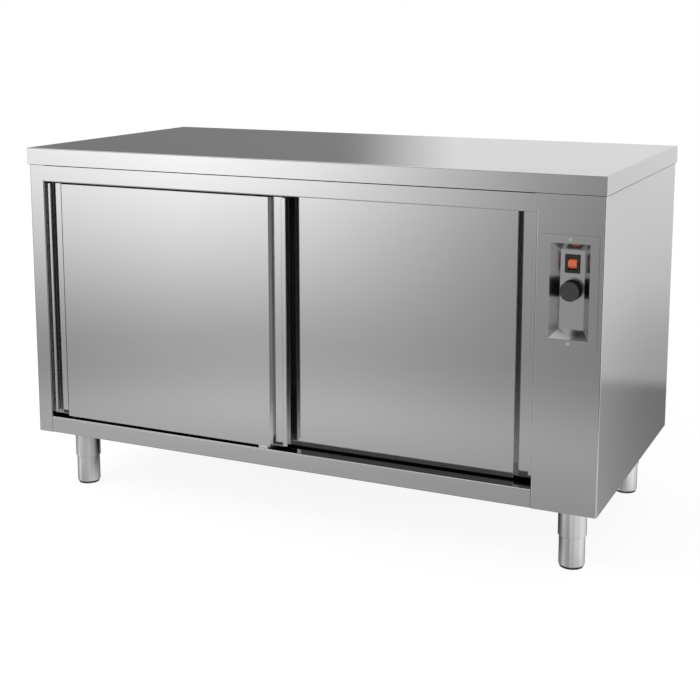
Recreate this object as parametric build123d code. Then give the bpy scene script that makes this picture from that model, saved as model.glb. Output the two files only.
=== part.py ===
from build123d import *
import math
import os

# Free-standing plate warmer cabinet with a flat worktop, two hanging sliding doors and a
# fan heater behind a recessed control dish. All sizes are in millimetres.
# The origin is on the floor under the middle of the cabinet: X to the right as seen from
# the front, Y to the back, Z up.

# Overall size
WIDTH = 1400.0
DEPTH = 700.0
HEIGHT = 850.0
TOP_THICK = 40.0
LEG_HEIGHT = 150.0
TOP_OVERHANG_SIDE = 2.5
TOP_OVERHANG_FRONT = 5.0

# Sheet metal
SHEET = 1.2
TOP_SHEET = 1.5
BEND = 2.0
TOP_EDGE_ROUND = 2.0
FLANGE = 20.0
REAR_FLANGE = 25.0
RETURN_LAP = 2.0
TOP_LIP = 18.0
RIB_WIDTH = 90.0
RIB_BRIM = 20.0
RIB_CLEAR = 2.0

# Front frame around the door opening
STILE_WIDTH = 40.0
RAIL_HEIGHT = 40.0
CONTROL_WIDTH = 139.5
RAIL_CLEAR = 1.5
DISH_CLEAR = 1.0

# Sliding doors, as they hang closed
DOOR_THICK = 18.0
DOOR_OVERLAP = 81.5
DOOR_SETBACK = 9.0
TRACK_PITCH = 34.0
DOOR_GAP_TOP = 5.0
DOOR_GAP_BOTTOM = 4.5
DOOR_GAP_LEFT = 0.5
DOOR_GAP_RIGHT = 8.5
DOOR_SHEET = 1.0
GRIP_SHEET = 1.2
GRIP_BEND = 0.8
GRIP_LIP = 11.0
GRIP_FLOOR = 24.0
GRIP_SLOPE = 8.0
GRIP_DEPTH = 11.0
GRIP_LAP = 7.0
GRIP_RAISE = 5.0
GRIP_END_SETBACK = 1.0
SKIN_RETURN_GAP = 1.5
CORE_GAP = 4.0
BEHIND_DOORS = 1.0

# Rollers, hangers and track
ROLLER_R = 10.0
ROLLER_FLANGE = 2.0
ROLLER_WIDTH = 9.0
ROLLER_INSET = 60.0
ROLLER_HEADROOM = 2.8
ROLLER_BEVEL = 1.0
PIN_R = 3.0
PIN_HEAD_R = 4.5
PIN_HEAD = 1.5
SPACER = 1.0
HANGER_SHEET = 2.0
HANGER_WIDTH = 44.0
HANGER_DEPTH = 60.0
HANGER_ABOVE_PIN = 8.0
HANGER_ROUND = 7.0
HANGER_CLEAR = 2.0
TRACK_WALL = 2.0
TRACK_BACK_CLEAR = 3.0
WEB_CLEAR = 1.4
FLANGE_CLEAR = 0.5
BEAD_WIDTH = 2.4
STOP_LENGTH = 12.0
STOP_WIDTH = 7.0
STOP_ROUND = 1.5

# Clearances: between a pin or a shaft and its hole, between pieces that must not touch, round
# a screw's shank, and how far a cutting shape reaches past what it cuts
RUN_CLEAR = 0.05
FREE_CLEAR = 0.3
SCREW_CLEAR = 0.2
OVERCUT = 1.0

# Floor guide of the doors
GUIDE_WIDTH = 24.0
GUIDE_INSET = 7.0
GUIDE_SETBACK = 1.0
GUIDE_ROUND = 2.0
GUIDE_FIN = 2.5
GUIDE_FIN_HEIGHT = 9.0
GUIDE_FIN_INSET = 2.0
GUIDE_FIN_BEVEL = 0.6

# Warm chamber
BACK_GAP = 25.0
SHELF_HEIGHT = 280.0
SHELF_EDGE = 25.0
SHELF_SIDE_GAP = 9.0
SHELF_END_GAP = 6.0
SHELF_SLOT_LENGTH = 60.0
SHELF_SLOT_WIDTH = 8.0
SHELF_SLOT_INSET = 40.0
SHELF_SLOTS = 12
UPRIGHT_WIDTH = 24.0
UPRIGHT_DEPTH = 7.0
UPRIGHT_INSET = 60.0
UPRIGHT_PITCH = 40.0
CLIP_WIDTH = 14.0
CLIP_REACH = 16.0
CLIP_THICK = 3.0
CLIP_HOOK = 6.0

# Legs and levelling feet
LEG_SETBACK = 95.0
SLEEVE_R = 30.5
SLEEVE_WALL = 2.2
SLEEVE_LENGTH = 80.0
SLEEVE_BEVEL = 1.2
LEG_PLATE_WIDTH = 90.0
LEG_PLATE_THICK = 3.0
LEG_PLATE_ROUND = 8.0
FOOT_TRAVEL = 50.0
FOOT_ENGAGE = 20.0
FOOT_WALL = 1.5
FOOT_ROUND = 6.0
FOOT_STEP = 3.6
PAD_THICK = 2.0
PAD_REACH = 3.5
PAD_BEVEL = 0.4
BOLT_R = 3.0
BOLT_CLEAR = 2.5
BOLT_PITCH = 56.0
BOLT_HEAD_R = 5.5
BOLT_HEAD = 4.0
BOLT_LENGTH = 12.0

# Control dish with switch and thermostat
CONTROL_BELOW_TOP = 196.0
CONTROL_SHIFT = 1.0
PLATE_WIDTH = 118.0
PLATE_HEIGHT = 229.0
PLATE_SHEET = 1.5
PLATE_ROUND = 1.5
DISH_WIDTH = 82.0
DISH_HEIGHT = 195.0
DISH_SLOPE = 16.0
DISH_DEPTH = 22.0
PLATE_SCREW_INSET = 8.5
SCREW_R = 2.0
SCREW_HEAD_R = 3.6
SCREW_HEAD = 1.8
SCREW_HEAD_ROUND = 1.1
SCREW_LENGTH = 8.0
CROSS_LENGTH = 4.0
CROSS_WIDTH = 0.8
CROSS_DEPTH = 0.6
SWITCH_ABOVE = 53.5
BEZEL_WIDTH = 31.0
BEZEL_HEIGHT = 38.0
BEZEL_THICK = 2.5
BEZEL_ROUND = 1.5
BEZEL_BEVEL = 0.8
SWITCH_BODY = 24.0
SWITCH_WALL = 3.0
POCKET_SPARE = 2.0
ROCKER_WIDTH = 17.5
ROCKER_HEIGHT = 21.5
ROCKER_PIVOT = 7.0
ROCKER_PROUD = 0.5
ROCKER_BACK_CLEAR = 3.0
ROCKER_TILT = 7.0
ROCKER_PIN_R = 1.5
ROCKER_PIN_END = 0.9
PIN_SOCKET = 1.2
KNOB_R = 21.0
KNOB_DEPTH = 21.0
KNOB_DRAFT = 0.8
KNOB_ROUND = 1.6
KNOB_GAP = 1.0
KNOB_SOCKET = 14.0
POINTER_LENGTH = 9.5
POINTER_WIDTH = 1.6
POINTER_DEPTH = 0.6
SPINDLE_R = 3.0
SPINDLE_HOLE_CLEAR = 2.0
SPINDLE_REACH = 10.0
SOCKET_SPARE = 2.5
THERMOSTAT_R = 20.0
THERMOSTAT_DEPTH = 26.0
THERMOSTAT_ROUND = 2.0
TAB_SPACING = 16.0
TAB_WIDTH = 6.0
TAB_LENGTH = 8.0
TAB_SHEET = 0.8

# Fan heater behind the side wall of the chamber
FAN_FROM_BACK = 210.0
FAN_ABOVE_FLOOR = 140.0
FAN_R = 75.0
FAN_WIDTH = 30.0
FAN_FROM_WALL = 12.0
FAN_SHEET = 1.6
FAN_RING = 5.0
FAN_BLADES = 24
BLADE_SHEET = 1.2
BLADE_CHORD = 16.0
BLADE_TIP_INSET = 0.6
BLADE_BOW = 3.2
BLADE_SWEEP = 6.0
HUB_R = 12.0
HUB_LENGTH = 12.0
GRILLE_R = 60.0
GRILLE_PITCH = 15.0
GRILLE_HOLE_R = 4.5
AIR_SLOT_LENGTH = 18.0
AIR_SLOT_WIDTH = 6.0
AIR_SLOT_PITCH = 26.0
AIR_SLOT_INSET = 18.0
AIR_SLOTS = 8
HEATER_BOX_WIDTH = 270.0
HEATER_BOX_DEPTH = 48.0
HEATER_BOX_ROUND = 14.0
MOTOR_R = 40.0
MOTOR_LENGTH = 52.0
MOTOR_ROUND = 4.0
MOTOR_GROOVES = 12
GROOVE_WIDTH = 4.0
GROOVE_DEPTH = 3.0
GROOVE_INSET = 8.0
SHAFT_R = 4.0
SHAFT_REACH = 20.0
SHAFT_HOLE_CLEAR = 2.0
ELEMENT_R = 4.0
ELEMENT_LOOP = 206.0
ELEMENT_BEND = 30.0
ELEMENT_TAIL = 18.0
ELEMENT_TAIL_BEND = 12.0
ELEMENT_TAIL_PITCH = 36.0

# Rear service cover, terminal block and cable gland
COVER_WIDTH = 104.0
COVER_HEIGHT = 430.0
COVER_LAP = 12.0
COVER_ROUND = 4.0
COVER_FROM_BASE = 60.0
LOUVRE_LENGTH = 52.0
LOUVRE_WIDTH = 5.0
LOUVRE_PITCH = 12.0
LOUVRE_FROM_TOP = 60.0
LOUVRES = 8
TERMINAL_FROM_BACK = 180.0
TERMINAL_LENGTH = 68.0
TERMINAL_WIDTH = 28.0
TERMINAL_HEIGHT = 24.0
TERMINAL_ROUND = 2.0
POLES = 5
POLE_PITCH = 13.0
POLE_R = 3.2
POLE_DEPTH = 10.0
WIRE_WAY_WIDTH = 6.0
WIRE_WAY_HEIGHT = 9.0
WIRE_WAY_DEPTH = 5.0
GLAND_R = 5.0
GLAND_BODY_R = 11.0
GLAND_HEX_R = 12.2
GLAND_NECK_R = 8.0
GLAND_COLLAR = 6.0
GLAND_DOME = 10.0
GLAND_DOME_ROUND = 3.0
GLAND_NUT = 4.0
GLAND_NECK_ABOVE_NUT = 4.0
GLAND_FROM_BACK = 25.0

# Faces that the other pieces are placed from
BODY_X = WIDTH / 2 - TOP_OVERHANG_SIDE
BODY_Y = DEPTH / 2 - TOP_OVERHANG_FRONT
BODY_BOTTOM = LEG_HEIGHT
BODY_TOP = HEIGHT - TOP_THICK
FRONT = -BODY_Y
OPEN_LEFT = -BODY_X + STILE_WIDTH
OPEN_RIGHT = BODY_X - CONTROL_WIDTH
OPEN_BOTTOM = BODY_BOTTOM + RAIL_HEIGHT
OPEN_TOP = BODY_TOP - RAIL_HEIGHT
FRONT_DOOR = FRONT + DOOR_SETBACK
REAR_DOOR = FRONT_DOOR + TRACK_PITCH
CHAMBER_FRONT = REAR_DOOR + DOOR_THICK + BEHIND_DOORS
CHAMBER_BACK = BODY_Y - BACK_GAP
PAN_TOP = BODY_BOTTOM + SHEET
COLUMN_LEFT = OPEN_RIGHT + SHEET
COLUMN_RIGHT = BODY_X - SHEET

DOOR_WIDTH = (OPEN_RIGHT - OPEN_LEFT - DOOR_GAP_LEFT - DOOR_GAP_RIGHT + DOOR_OVERLAP) / 2
DOOR_BOTTOM = OPEN_BOTTOM + DOOR_GAP_BOTTOM
DOOR_TOP = OPEN_TOP - DOOR_GAP_TOP
LEFT_DOOR_X = OPEN_LEFT + DOOR_GAP_LEFT
RIGHT_DOOR_X = OPEN_RIGHT - DOOR_GAP_RIGHT - DOOR_WIDTH
GRIP_WIDTH = GRIP_LIP + GRIP_FLOOR + GRIP_SLOPE
GRIP_BACK = GRIP_DEPTH + GRIP_SHEET + DOOR_SHEET
BACK_SHEET = DOOR_THICK - DOOR_SHEET
HANGER_FACE = BACK_SHEET - HANGER_SHEET

TRACK_UNDER = BODY_TOP - SHEET - TRACK_WALL
ROLLER_OUTER = ROLLER_R + ROLLER_FLANGE
ROLLER_Z = TRACK_UNDER - ROLLER_HEADROOM - ROLLER_OUTER
SHELF_OF_TRACK = ROLLER_Z - ROLLER_OUTER - FLANGE_CLEAR
ROLLER_BACK = HANGER_FACE - SPACER - FREE_CLEAR
ROLLER_MIDDLE = ROLLER_BACK - ROLLER_WIDTH / 2
ROLLER_FRONT = ROLLER_BACK - ROLLER_WIDTH
WEB_BACK = ROLLER_FRONT - FREE_CLEAR - PIN_HEAD - WEB_CLEAR

LEG_X = -OPEN_LEFT - BOLT_PITCH / 2 - BOLT_R - BOLT_CLEAR
LEG_Y = BODY_Y - LEG_SETBACK
CONTROL_X = (OPEN_RIGHT + BODY_X) / 2 + CONTROL_SHIFT
CONTROL_Z = BODY_TOP - CONTROL_BELOW_TOP
PLATE_FRONT = FRONT - PLATE_SHEET
DISH_FLOOR = PLATE_FRONT + DISH_DEPTH
SWITCH_Z = CONTROL_Z + SWITCH_ABOVE
FAN_X = COLUMN_LEFT + FAN_FROM_WALL
FAN_Y = CHAMBER_BACK - FAN_FROM_BACK
FAN_Z = OPEN_BOTTOM + FAN_ABOVE_FLOOR
COVER_X = (COLUMN_LEFT + BODY_X - REAR_FLANGE) / 2
GLAND_Y = BODY_Y - GLAND_FROM_BACK
COVER_Z = BODY_BOTTOM + COVER_FROM_BASE + COVER_HEIGHT / 2


def block(x0, x1, y0, y1, z0, z1):
    """A straight-edged solid between two corners."""
    centre = Pos((x0 + x1) / 2, (y0 + y1) / 2, (z0 + z1) / 2)
    return centre * Box(abs(x1 - x0), abs(y1 - y0), abs(z1 - z0))


def folded(plane, points, sheet, bend, length):
    """Folded sheet: the middle line of its section gets the sheet's thickness, then its length."""
    section = trace(FilletPolyline(*points, radius=bend), sheet)
    return extrude(plane * section, amount=length)


def round_bar(axis, start, radius, length):
    """A round bar along X, Y or Z from its start point."""
    plane = {"X": Plane.YZ, "Y": Plane.XZ, "Z": Plane.XY}[axis]
    reach = -length if axis == "Y" else length
    return Pos(*start) * extrude(plane * Circle(radius), amount=reach)


def worktop():
    """Pressed top with four folded edges, welded corners and a lip turned in under each edge."""
    x, y = WIDTH / 2, DEPTH / 2
    top = block(-x, x, -y, y, BODY_TOP, HEIGHT)
    top = fillet(top.edges().group_by(Axis.Z)[-1], TOP_EDGE_ROUND)
    s = TOP_SHEET
    top -= block(-x + s, x - s, -y + s, y - s, BODY_TOP + s, HEIGHT - s)
    lip = TOP_LIP
    top -= block(-x + lip, x - lip, -y + lip, y - lip, BODY_TOP - s, BODY_TOP + 2 * s)
    return top


def worktop_stiffeners():
    """Three hat-section ribs glued under the top."""
    under = HEIGHT - TOP_SHEET - SHEET / 2
    drop = TOP_THICK - TOP_SHEET - 2 * SHEET - RIB_CLEAR
    rib_half = RIB_WIDTH / 2
    ribs = []
    for x in (-WIDTH / 3, 0.0, WIDTH / 3):
        points = [
            (x - rib_half - RIB_BRIM, under),
            (x - rib_half, under),
            (x - rib_half, under - drop),
            (x + rib_half, under - drop),
            (x + rib_half, under),
            (x + rib_half + RIB_BRIM, under),
        ]
        length = DEPTH - 2 * TOP_LIP - 4 * BEND
        ribs.append(folded(Plane.XZ.offset(-length / 2), points, SHEET, BEND, length))
    return ribs


def front_frame():
    """Welded inverted-U front: left stile, top rail and the wide stile of the control column."""
    h = SHEET / 2
    height = BODY_TOP - BODY_BOTTOM
    face = FRONT + h
    base = Plane.XY.offset(BODY_BOTTOM)
    left = [
        (OPEN_LEFT - h, CHAMBER_FRONT),
        (OPEN_LEFT - h, face),
        (-BODY_X + h, face),
        (-BODY_X + h, FRONT + FLANGE),
    ]
    right = [
        (OPEN_RIGHT + h, CHAMBER_FRONT),
        (OPEN_RIGHT + h, face),
        (BODY_X - h, face),
        (BODY_X - h, FRONT + FLANGE),
    ]
    rail = [
        (FRONT_DOOR - RAIL_CLEAR, OPEN_TOP + h),
        (face, OPEN_TOP + h),
        (face, BODY_TOP - h),
        (CHAMBER_FRONT + RETURN_LAP, BODY_TOP - h),
    ]
    frame = folded(base, left, SHEET, BEND, height)
    frame += folded(base, right, SHEET, BEND, height)
    span = OPEN_RIGHT - OPEN_LEFT
    frame += folded(Plane.YZ.offset(OPEN_LEFT), rail, SHEET, BEND, span)
    weld = SHEET + BEND + h
    for x in (OPEN_LEFT, OPEN_RIGHT):
        frame += block(x - weld, x + weld, FRONT, FRONT + SHEET, OPEN_TOP + weld, BODY_TOP)
    wide = DISH_WIDTH / 2 + DISH_CLEAR
    tall = DISH_HEIGHT / 2 + DISH_CLEAR
    frame -= block(
        CONTROL_X - wide,
        CONTROL_X + wide,
        FRONT - SHEET,
        FRONT + 2 * SHEET,
        CONTROL_Z - tall,
        CONTROL_Z + tall,
    )
    for z in plate_screw_heights():
        frame -= round_bar("Y", (CONTROL_X, FRONT - SHEET, z), SCREW_R + SCREW_CLEAR, 3 * SHEET)
    return frame


def plate_screw_heights():
    reach = PLATE_HEIGHT / 2 - PLATE_SCREW_INSET
    return (CONTROL_Z - reach, CONTROL_Z + reach)


def bottom_rail():
    """Folded sill under the doors, set between the two stiles."""
    h = SHEET / 2
    points = [
        (CHAMBER_FRONT + RETURN_LAP, OPEN_BOTTOM - h),
        (FRONT + h, OPEN_BOTTOM - h),
        (FRONT + h, BODY_BOTTOM + h),
        (FRONT + FLANGE, BODY_BOTTOM + h),
    ]
    span = OPEN_RIGHT - OPEN_LEFT
    return folded(Plane.YZ.offset(OPEN_LEFT), points, SHEET, BEND, span)


def side_panel(side):
    """Outer side sheet with a flange that turns in behind the cabinet. side is -1 or 1."""
    h = SHEET / 2
    points = [
        (side * (BODY_X - h), FRONT + FLANGE),
        (side * (BODY_X - h), BODY_Y - h),
        (side * (BODY_X - REAR_FLANGE), BODY_Y - h),
    ]
    return folded(Plane.XY.offset(BODY_BOTTOM), points, SHEET, BEND, BODY_TOP - BODY_BOTTOM)


def back_panel():
    """Rear sheet inside the side flanges, with the service window."""
    inner = BODY_Y - 2 * SHEET
    half = COLUMN_RIGHT - BEND - FREE_CLEAR
    panel = block(-half, half, inner, inner + SHEET, PAN_TOP, BODY_TOP)
    wide = COVER_WIDTH / 2 - COVER_LAP
    tall = COVER_HEIGHT / 2 - COVER_LAP
    panel -= block(
        COVER_X - wide, COVER_X + wide, inner - OVERCUT, BODY_Y, COVER_Z - tall, COVER_Z + tall
    )
    for x, z in cover_screw_places():
        panel -= round_bar("Y", (x, inner - OVERCUT, z), SCREW_R + SCREW_CLEAR, 3 * SHEET)
    return panel


def cover_screw_places():
    wide = COVER_WIDTH / 2 - COVER_LAP / 2
    tall = COVER_HEIGHT / 2 - COVER_LAP / 2
    return [(COVER_X + i * wide, COVER_Z + j * tall) for i in (-1, 1) for j in (-1, 0, 1)]


def service_cover():
    """Flat cover over the window behind the heater column, with cooling louvre slots."""
    wide = COVER_WIDTH / 2
    tall = COVER_HEIGHT / 2
    y = BODY_Y - SHEET
    cover = block(COVER_X - wide, COVER_X + wide, y, BODY_Y, COVER_Z - tall, COVER_Z + tall)
    cover = fillet(cover.edges().filter_by(Axis.Y), COVER_ROUND)
    slot = extrude(Plane.XZ * SlotOverall(LOUVRE_LENGTH, LOUVRE_WIDTH), amount=-4 * SHEET)
    for i in range(LOUVRES):
        z = COVER_Z + tall - LOUVRE_FROM_TOP - LOUVRE_PITCH * i
        cover -= Pos(COVER_X, y - SHEET, z) * slot
    for x, z in cover_screw_places():
        cover -= round_bar("Y", (x, y - OVERCUT, z), SCREW_R + SCREW_CLEAR, 3 * SHEET)
    return cover


def screw(place, outward):
    """Pan-head screw with a cross slot. place is where the head seats; outward is -1 or 1 in Y."""
    head = extrude(Circle(SCREW_HEAD_R), amount=SCREW_HEAD)
    head = fillet(head.edges().group_by(Axis.Z)[-1], SCREW_HEAD_ROUND)
    bolt = head + extrude(Circle(SCREW_R), amount=-SCREW_LENGTH)
    for angle in (0, 90):
        bar = Box(CROSS_LENGTH, CROSS_WIDTH, 2 * CROSS_DEPTH)
        bolt -= Pos(0, 0, SCREW_HEAD) * Rot(0, 0, angle) * bar
    return Pos(*place) * Rot(-90 * outward, 0, 0) * bolt


def cover_screws():
    return [screw((x, BODY_Y, z), 1) for x, z in cover_screw_places()]


def plate_screws():
    return [screw((CONTROL_X, PLATE_FRONT, z), -1) for z in plate_screw_heights()]


def leg_places():
    return {
        "front_left": (-LEG_X, -LEG_Y),
        "front_right": (LEG_X, -LEG_Y),
        "rear_left": (-LEG_X, LEG_Y),
        "rear_right": (LEG_X, LEG_Y),
    }


def bolt_places():
    half = BOLT_PITCH / 2
    corners = [(-half, -half), (-half, half), (half, -half), (half, half)]
    return [(x + i, y + j) for x, y in leg_places().values() for i, j in corners]


def base_pan():
    """Bottom sheet between the outer panels; the legs bolt to it."""
    pan = block(
        -COLUMN_RIGHT, COLUMN_RIGHT, FRONT + FLANGE, BODY_Y - 2 * SHEET, BODY_BOTTOM, PAN_TOP
    )
    tab_front = FRONT + SHEET + BEND
    for x0, x1 in ((-COLUMN_RIGHT, OPEN_LEFT - SHEET), (COLUMN_LEFT, COLUMN_RIGHT)):
        pan += block(x0, x1, tab_front, FRONT + FLANGE, BODY_BOTTOM, PAN_TOP)
    for x in (OPEN_LEFT - SHEET, OPEN_RIGHT):
        pan -= block(
            x - FREE_CLEAR,
            x + SHEET + FREE_CLEAR,
            FRONT,
            CHAMBER_FRONT + FREE_CLEAR,
            BODY_BOTTOM - OVERCUT,
            PAN_TOP + OVERCUT,
        )
    under = BODY_BOTTOM - OVERCUT
    for x, y in bolt_places():
        pan -= round_bar("Z", (x, y, under), BOLT_R + FREE_CLEAR, 4 * SHEET)
    pan -= round_bar("Z", (COVER_X, GLAND_Y, under), GLAND_NECK_R + FREE_CLEAR, 4 * SHEET)
    return pan


def chamber_floor():
    """Floor of the warm chamber: a tray turned down at both ends to stand on the pan."""
    h = SHEET / 2
    points = [
        (OPEN_LEFT + h, PAN_TOP),
        (OPEN_LEFT + h, OPEN_BOTTOM - h),
        (OPEN_RIGHT - h, OPEN_BOTTOM - h),
        (OPEN_RIGHT - h, PAN_TOP),
    ]
    length = CHAMBER_BACK - CHAMBER_FRONT - RETURN_LAP
    return folded(Plane.XZ.offset(-CHAMBER_BACK), points, SHEET, BEND, length)


def chamber_ceiling():
    """Ceiling of the warm chamber, turned up in front behind the track and up at the back."""
    h = SHEET / 2
    points = [
        (CHAMBER_FRONT + h, BODY_TOP - SHEET),
        (CHAMBER_FRONT + h, OPEN_TOP + h),
        (CHAMBER_BACK - h, OPEN_TOP + h),
        (CHAMBER_BACK - h, BODY_TOP - SHEET),
    ]
    span = OPEN_RIGHT - OPEN_LEFT
    return folded(Plane.YZ.offset(OPEN_LEFT), points, SHEET, BEND, span)


def chamber_left_wall():
    return block(
        OPEN_LEFT - SHEET, OPEN_LEFT, CHAMBER_FRONT, CHAMBER_BACK + SHEET, PAN_TOP, BODY_TOP
    )


def chamber_back_wall():
    y = CHAMBER_BACK
    return block(OPEN_LEFT, OPEN_RIGHT, y, y + SHEET, PAN_TOP, BODY_TOP)


def chamber_partition():
    """Wall between chamber and heater column: a fan grille of round holes, slots around it."""
    wall = block(
        OPEN_RIGHT, COLUMN_LEFT, CHAMBER_FRONT, CHAMBER_BACK + SHEET, PAN_TOP, BODY_TOP
    )
    rows = 2 * int(GRILLE_R / GRILLE_PITCH) + 1
    holes = Sketch()
    for place in GridLocations(GRILLE_PITCH, GRILLE_PITCH, rows, rows):
        if place.position.length < GRILLE_R:
            holes += place * Circle(GRILLE_HOLE_R)
    slots = Sketch()
    spread = HEATER_BOX_WIDTH - 2 * AIR_SLOT_INSET
    for place in GridLocations(AIR_SLOT_PITCH, spread, AIR_SLOTS, 2):
        slots += place * SlotOverall(AIR_SLOT_LENGTH, AIR_SLOT_WIDTH)
    cut = extrude(Plane.YZ * (holes + slots), amount=4 * SHEET)
    return wall - Pos(OPEN_RIGHT - SHEET, FAN_Y, FAN_Z) * cut


def insulation():
    """Mineral wool slabs at the left, behind and above the warm chamber."""
    left = block(
        -COLUMN_RIGHT,
        OPEN_LEFT - SHEET,
        CHAMBER_FRONT,
        BODY_Y - 2 * SHEET - BEND,
        PAN_TOP,
        BODY_TOP,
    )
    back = block(
        OPEN_LEFT - SHEET,
        COLUMN_LEFT,
        CHAMBER_BACK + SHEET,
        BODY_Y - 2 * SHEET,
        PAN_TOP,
        BODY_TOP,
    )
    above = block(
        OPEN_LEFT,
        OPEN_RIGHT,
        CHAMBER_FRONT + SHEET,
        CHAMBER_BACK - SHEET,
        OPEN_TOP + SHEET + BEND,
        BODY_TOP - SHEET,
    )
    return [left, back, above]


def shelf_top():
    return OPEN_BOTTOM + SHELF_HEIGHT


def middle_shelf():
    """Lift-out shelf with turned-down edges and slots that let the warm air rise."""
    x0 = OPEN_LEFT + SHELF_SIDE_GAP
    x1 = OPEN_RIGHT - SHELF_SIDE_GAP
    y0 = CHAMBER_FRONT + SHELF_END_GAP
    y1 = CHAMBER_BACK - SHELF_END_GAP
    top = shelf_top()
    shelf = block(x0, x1, y0, y1, top - SHELF_EDGE, top)
    shelf = fillet(shelf.edges().group_by(Axis.Z)[-1], BEND)
    s = SHEET
    shelf -= block(x0 + s, x1 - s, y0 + s, y1 - s, top - SHELF_EDGE - OVERCUT, top - s)
    slot = extrude(SlotOverall(SHELF_SLOT_LENGTH, SHELF_SLOT_WIDTH), amount=4 * s)
    step = (x1 - x0) / SHELF_SLOTS
    for i in range(SHELF_SLOTS):
        for y in (y0 + SHELF_SLOT_INSET, y1 - SHELF_SLOT_INSET):
            shelf -= Pos(x0 + step * (i + 0.5), y, top - 2 * s) * slot
    return shelf


def upright_places():
    front = CHAMBER_FRONT + UPRIGHT_INSET
    back = CHAMBER_BACK - UPRIGHT_INSET
    return [(x, side, y) for x, side in ((OPEN_LEFT, 1), (OPEN_RIGHT, -1)) for y in (front, back)]


def shelf_uprights():
    """Four slotted strips on the end walls that carry the shelf clips."""
    strips = []
    z0 = OPEN_BOTTOM
    z1 = OPEN_TOP
    for x, side, y in upright_places():
        w = UPRIGHT_WIDTH / 2
        d = side * UPRIGHT_DEPTH
        s = side * SHEET
        inner = w - SHEET
        strip = block(x, x + d, y - w, y + w, z0, z1)
        strip -= block(x - s, x + d - s, y - inner, y + inner, z0 - OVERCUT, z1 + OVERCUT)
        first = (shelf_top() - SHELF_EDGE - z0) % UPRIGHT_PITCH
        count = int((z1 - z0 - first) / UPRIGHT_PITCH)
        for i in range(count + 1):
            z = z0 + first + UPRIGHT_PITCH * i
            if z0 + CLIP_THICK * 2 < z < z1 - CLIP_THICK * 2:
                strip -= block(
                    x + d - 2 * s,
                    x + d + s,
                    y - CLIP_WIDTH / 2 - FREE_CLEAR,
                    y + CLIP_WIDTH / 2 + FREE_CLEAR,
                    z - CLIP_THICK - FREE_CLEAR,
                    z,
                )
        strips.append(strip)
    return strips


def shelf_clips():
    """Four hooked clips in the uprights, just under the shelf's edge."""
    clips = []
    z = shelf_top() - SHELF_EDGE
    for x, side, y in upright_places():
        w = CLIP_WIDTH / 2
        d = side * UPRIGHT_DEPTH
        s = side * SHEET
        clip = block(x + d - 3 * s, x + d + side * CLIP_REACH, y - w, y + w, z - CLIP_THICK, z)
        hook = side * FREE_CLEAR
        low = z - CLIP_THICK - CLIP_HOOK
        high = z - CLIP_THICK
        clip += block(x + d - 3 * s, x + d - s - hook, y - w, y + w, low, high)
        clip += block(x + d + hook, x + d + hook + s, y - w, y + w, low, high)
        clips.append(clip)
    return clips


def track_section(face):
    """One runway of the track: web, shelf and bead, behind a door whose face is at Y = face."""
    web_front = WEB_BACK - TRACK_WALL
    shelf_free = HANGER_FACE - HANGER_CLEAR
    bead_top = ROLLER_Z - ROLLER_R - FREE_CLEAR
    shelf_low = SHELF_OF_TRACK - TRACK_WALL
    top = TRACK_UNDER + TRACK_WALL

    def rect(y0, y1, z0, z1):
        return Pos((y0 + y1) / 2, (z0 + z1) / 2) * Rectangle(y1 - y0, z1 - z0)

    web = rect(face + web_front, face + WEB_BACK, shelf_low, top)
    shelf = rect(face + web_front, face + shelf_free, shelf_low, SHELF_OF_TRACK)
    middle = face + ROLLER_MIDDLE
    half = BEAD_WIDTH / 2
    bead = rect(middle - half, middle + half, shelf_low, bead_top - half)
    bead += Pos(middle, bead_top - half) * Circle(half)
    return web + shelf + bead


def door_track():
    """Double aluminium track: a top plate with one beaded runway for each door."""
    front = FRONT_DOOR + WEB_BACK - TRACK_WALL
    back = CHAMBER_FRONT - TRACK_BACK_CLEAR
    middle_z = TRACK_UNDER + TRACK_WALL / 2
    plate = Pos((front + back) / 2, middle_z) * Rectangle(back - front, TRACK_WALL)
    section = plate + track_section(FRONT_DOOR) + track_section(REAR_DOOR)
    return extrude(Plane.YZ.offset(OPEN_LEFT) * section, amount=OPEN_RIGHT - OPEN_LEFT)


def door_stops():
    """Rubber buffers astride the beads, where the end rollers stop."""
    left = LEFT_DOOR_X + ROLLER_INSET - ROLLER_OUTER - FREE_CLEAR
    right = RIGHT_DOOR_X + DOOR_WIDTH - ROLLER_INSET + ROLLER_OUTER + FREE_CLEAR
    bead_top = ROLLER_Z - ROLLER_R - FREE_CLEAR
    stops = []
    for face in (FRONT_DOOR, REAR_DOOR):
        middle = face + ROLLER_MIDDLE
        half = STOP_WIDTH / 2
        slot = BEAD_WIDTH / 2
        for x in (left - STOP_LENGTH, right):
            x1 = x + STOP_LENGTH
            stop = block(x, x1, middle - half, middle + half, SHELF_OF_TRACK, ROLLER_Z)
            stop = fillet(stop.edges().group_by(Axis.Z)[-1], STOP_ROUND)
            low = SHELF_OF_TRACK - OVERCUT
            stop -= block(x - OVERCUT, x1 + OVERCUT, middle - slot, middle + slot, low, bead_top)
            stops.append(stop)
    return stops


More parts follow.
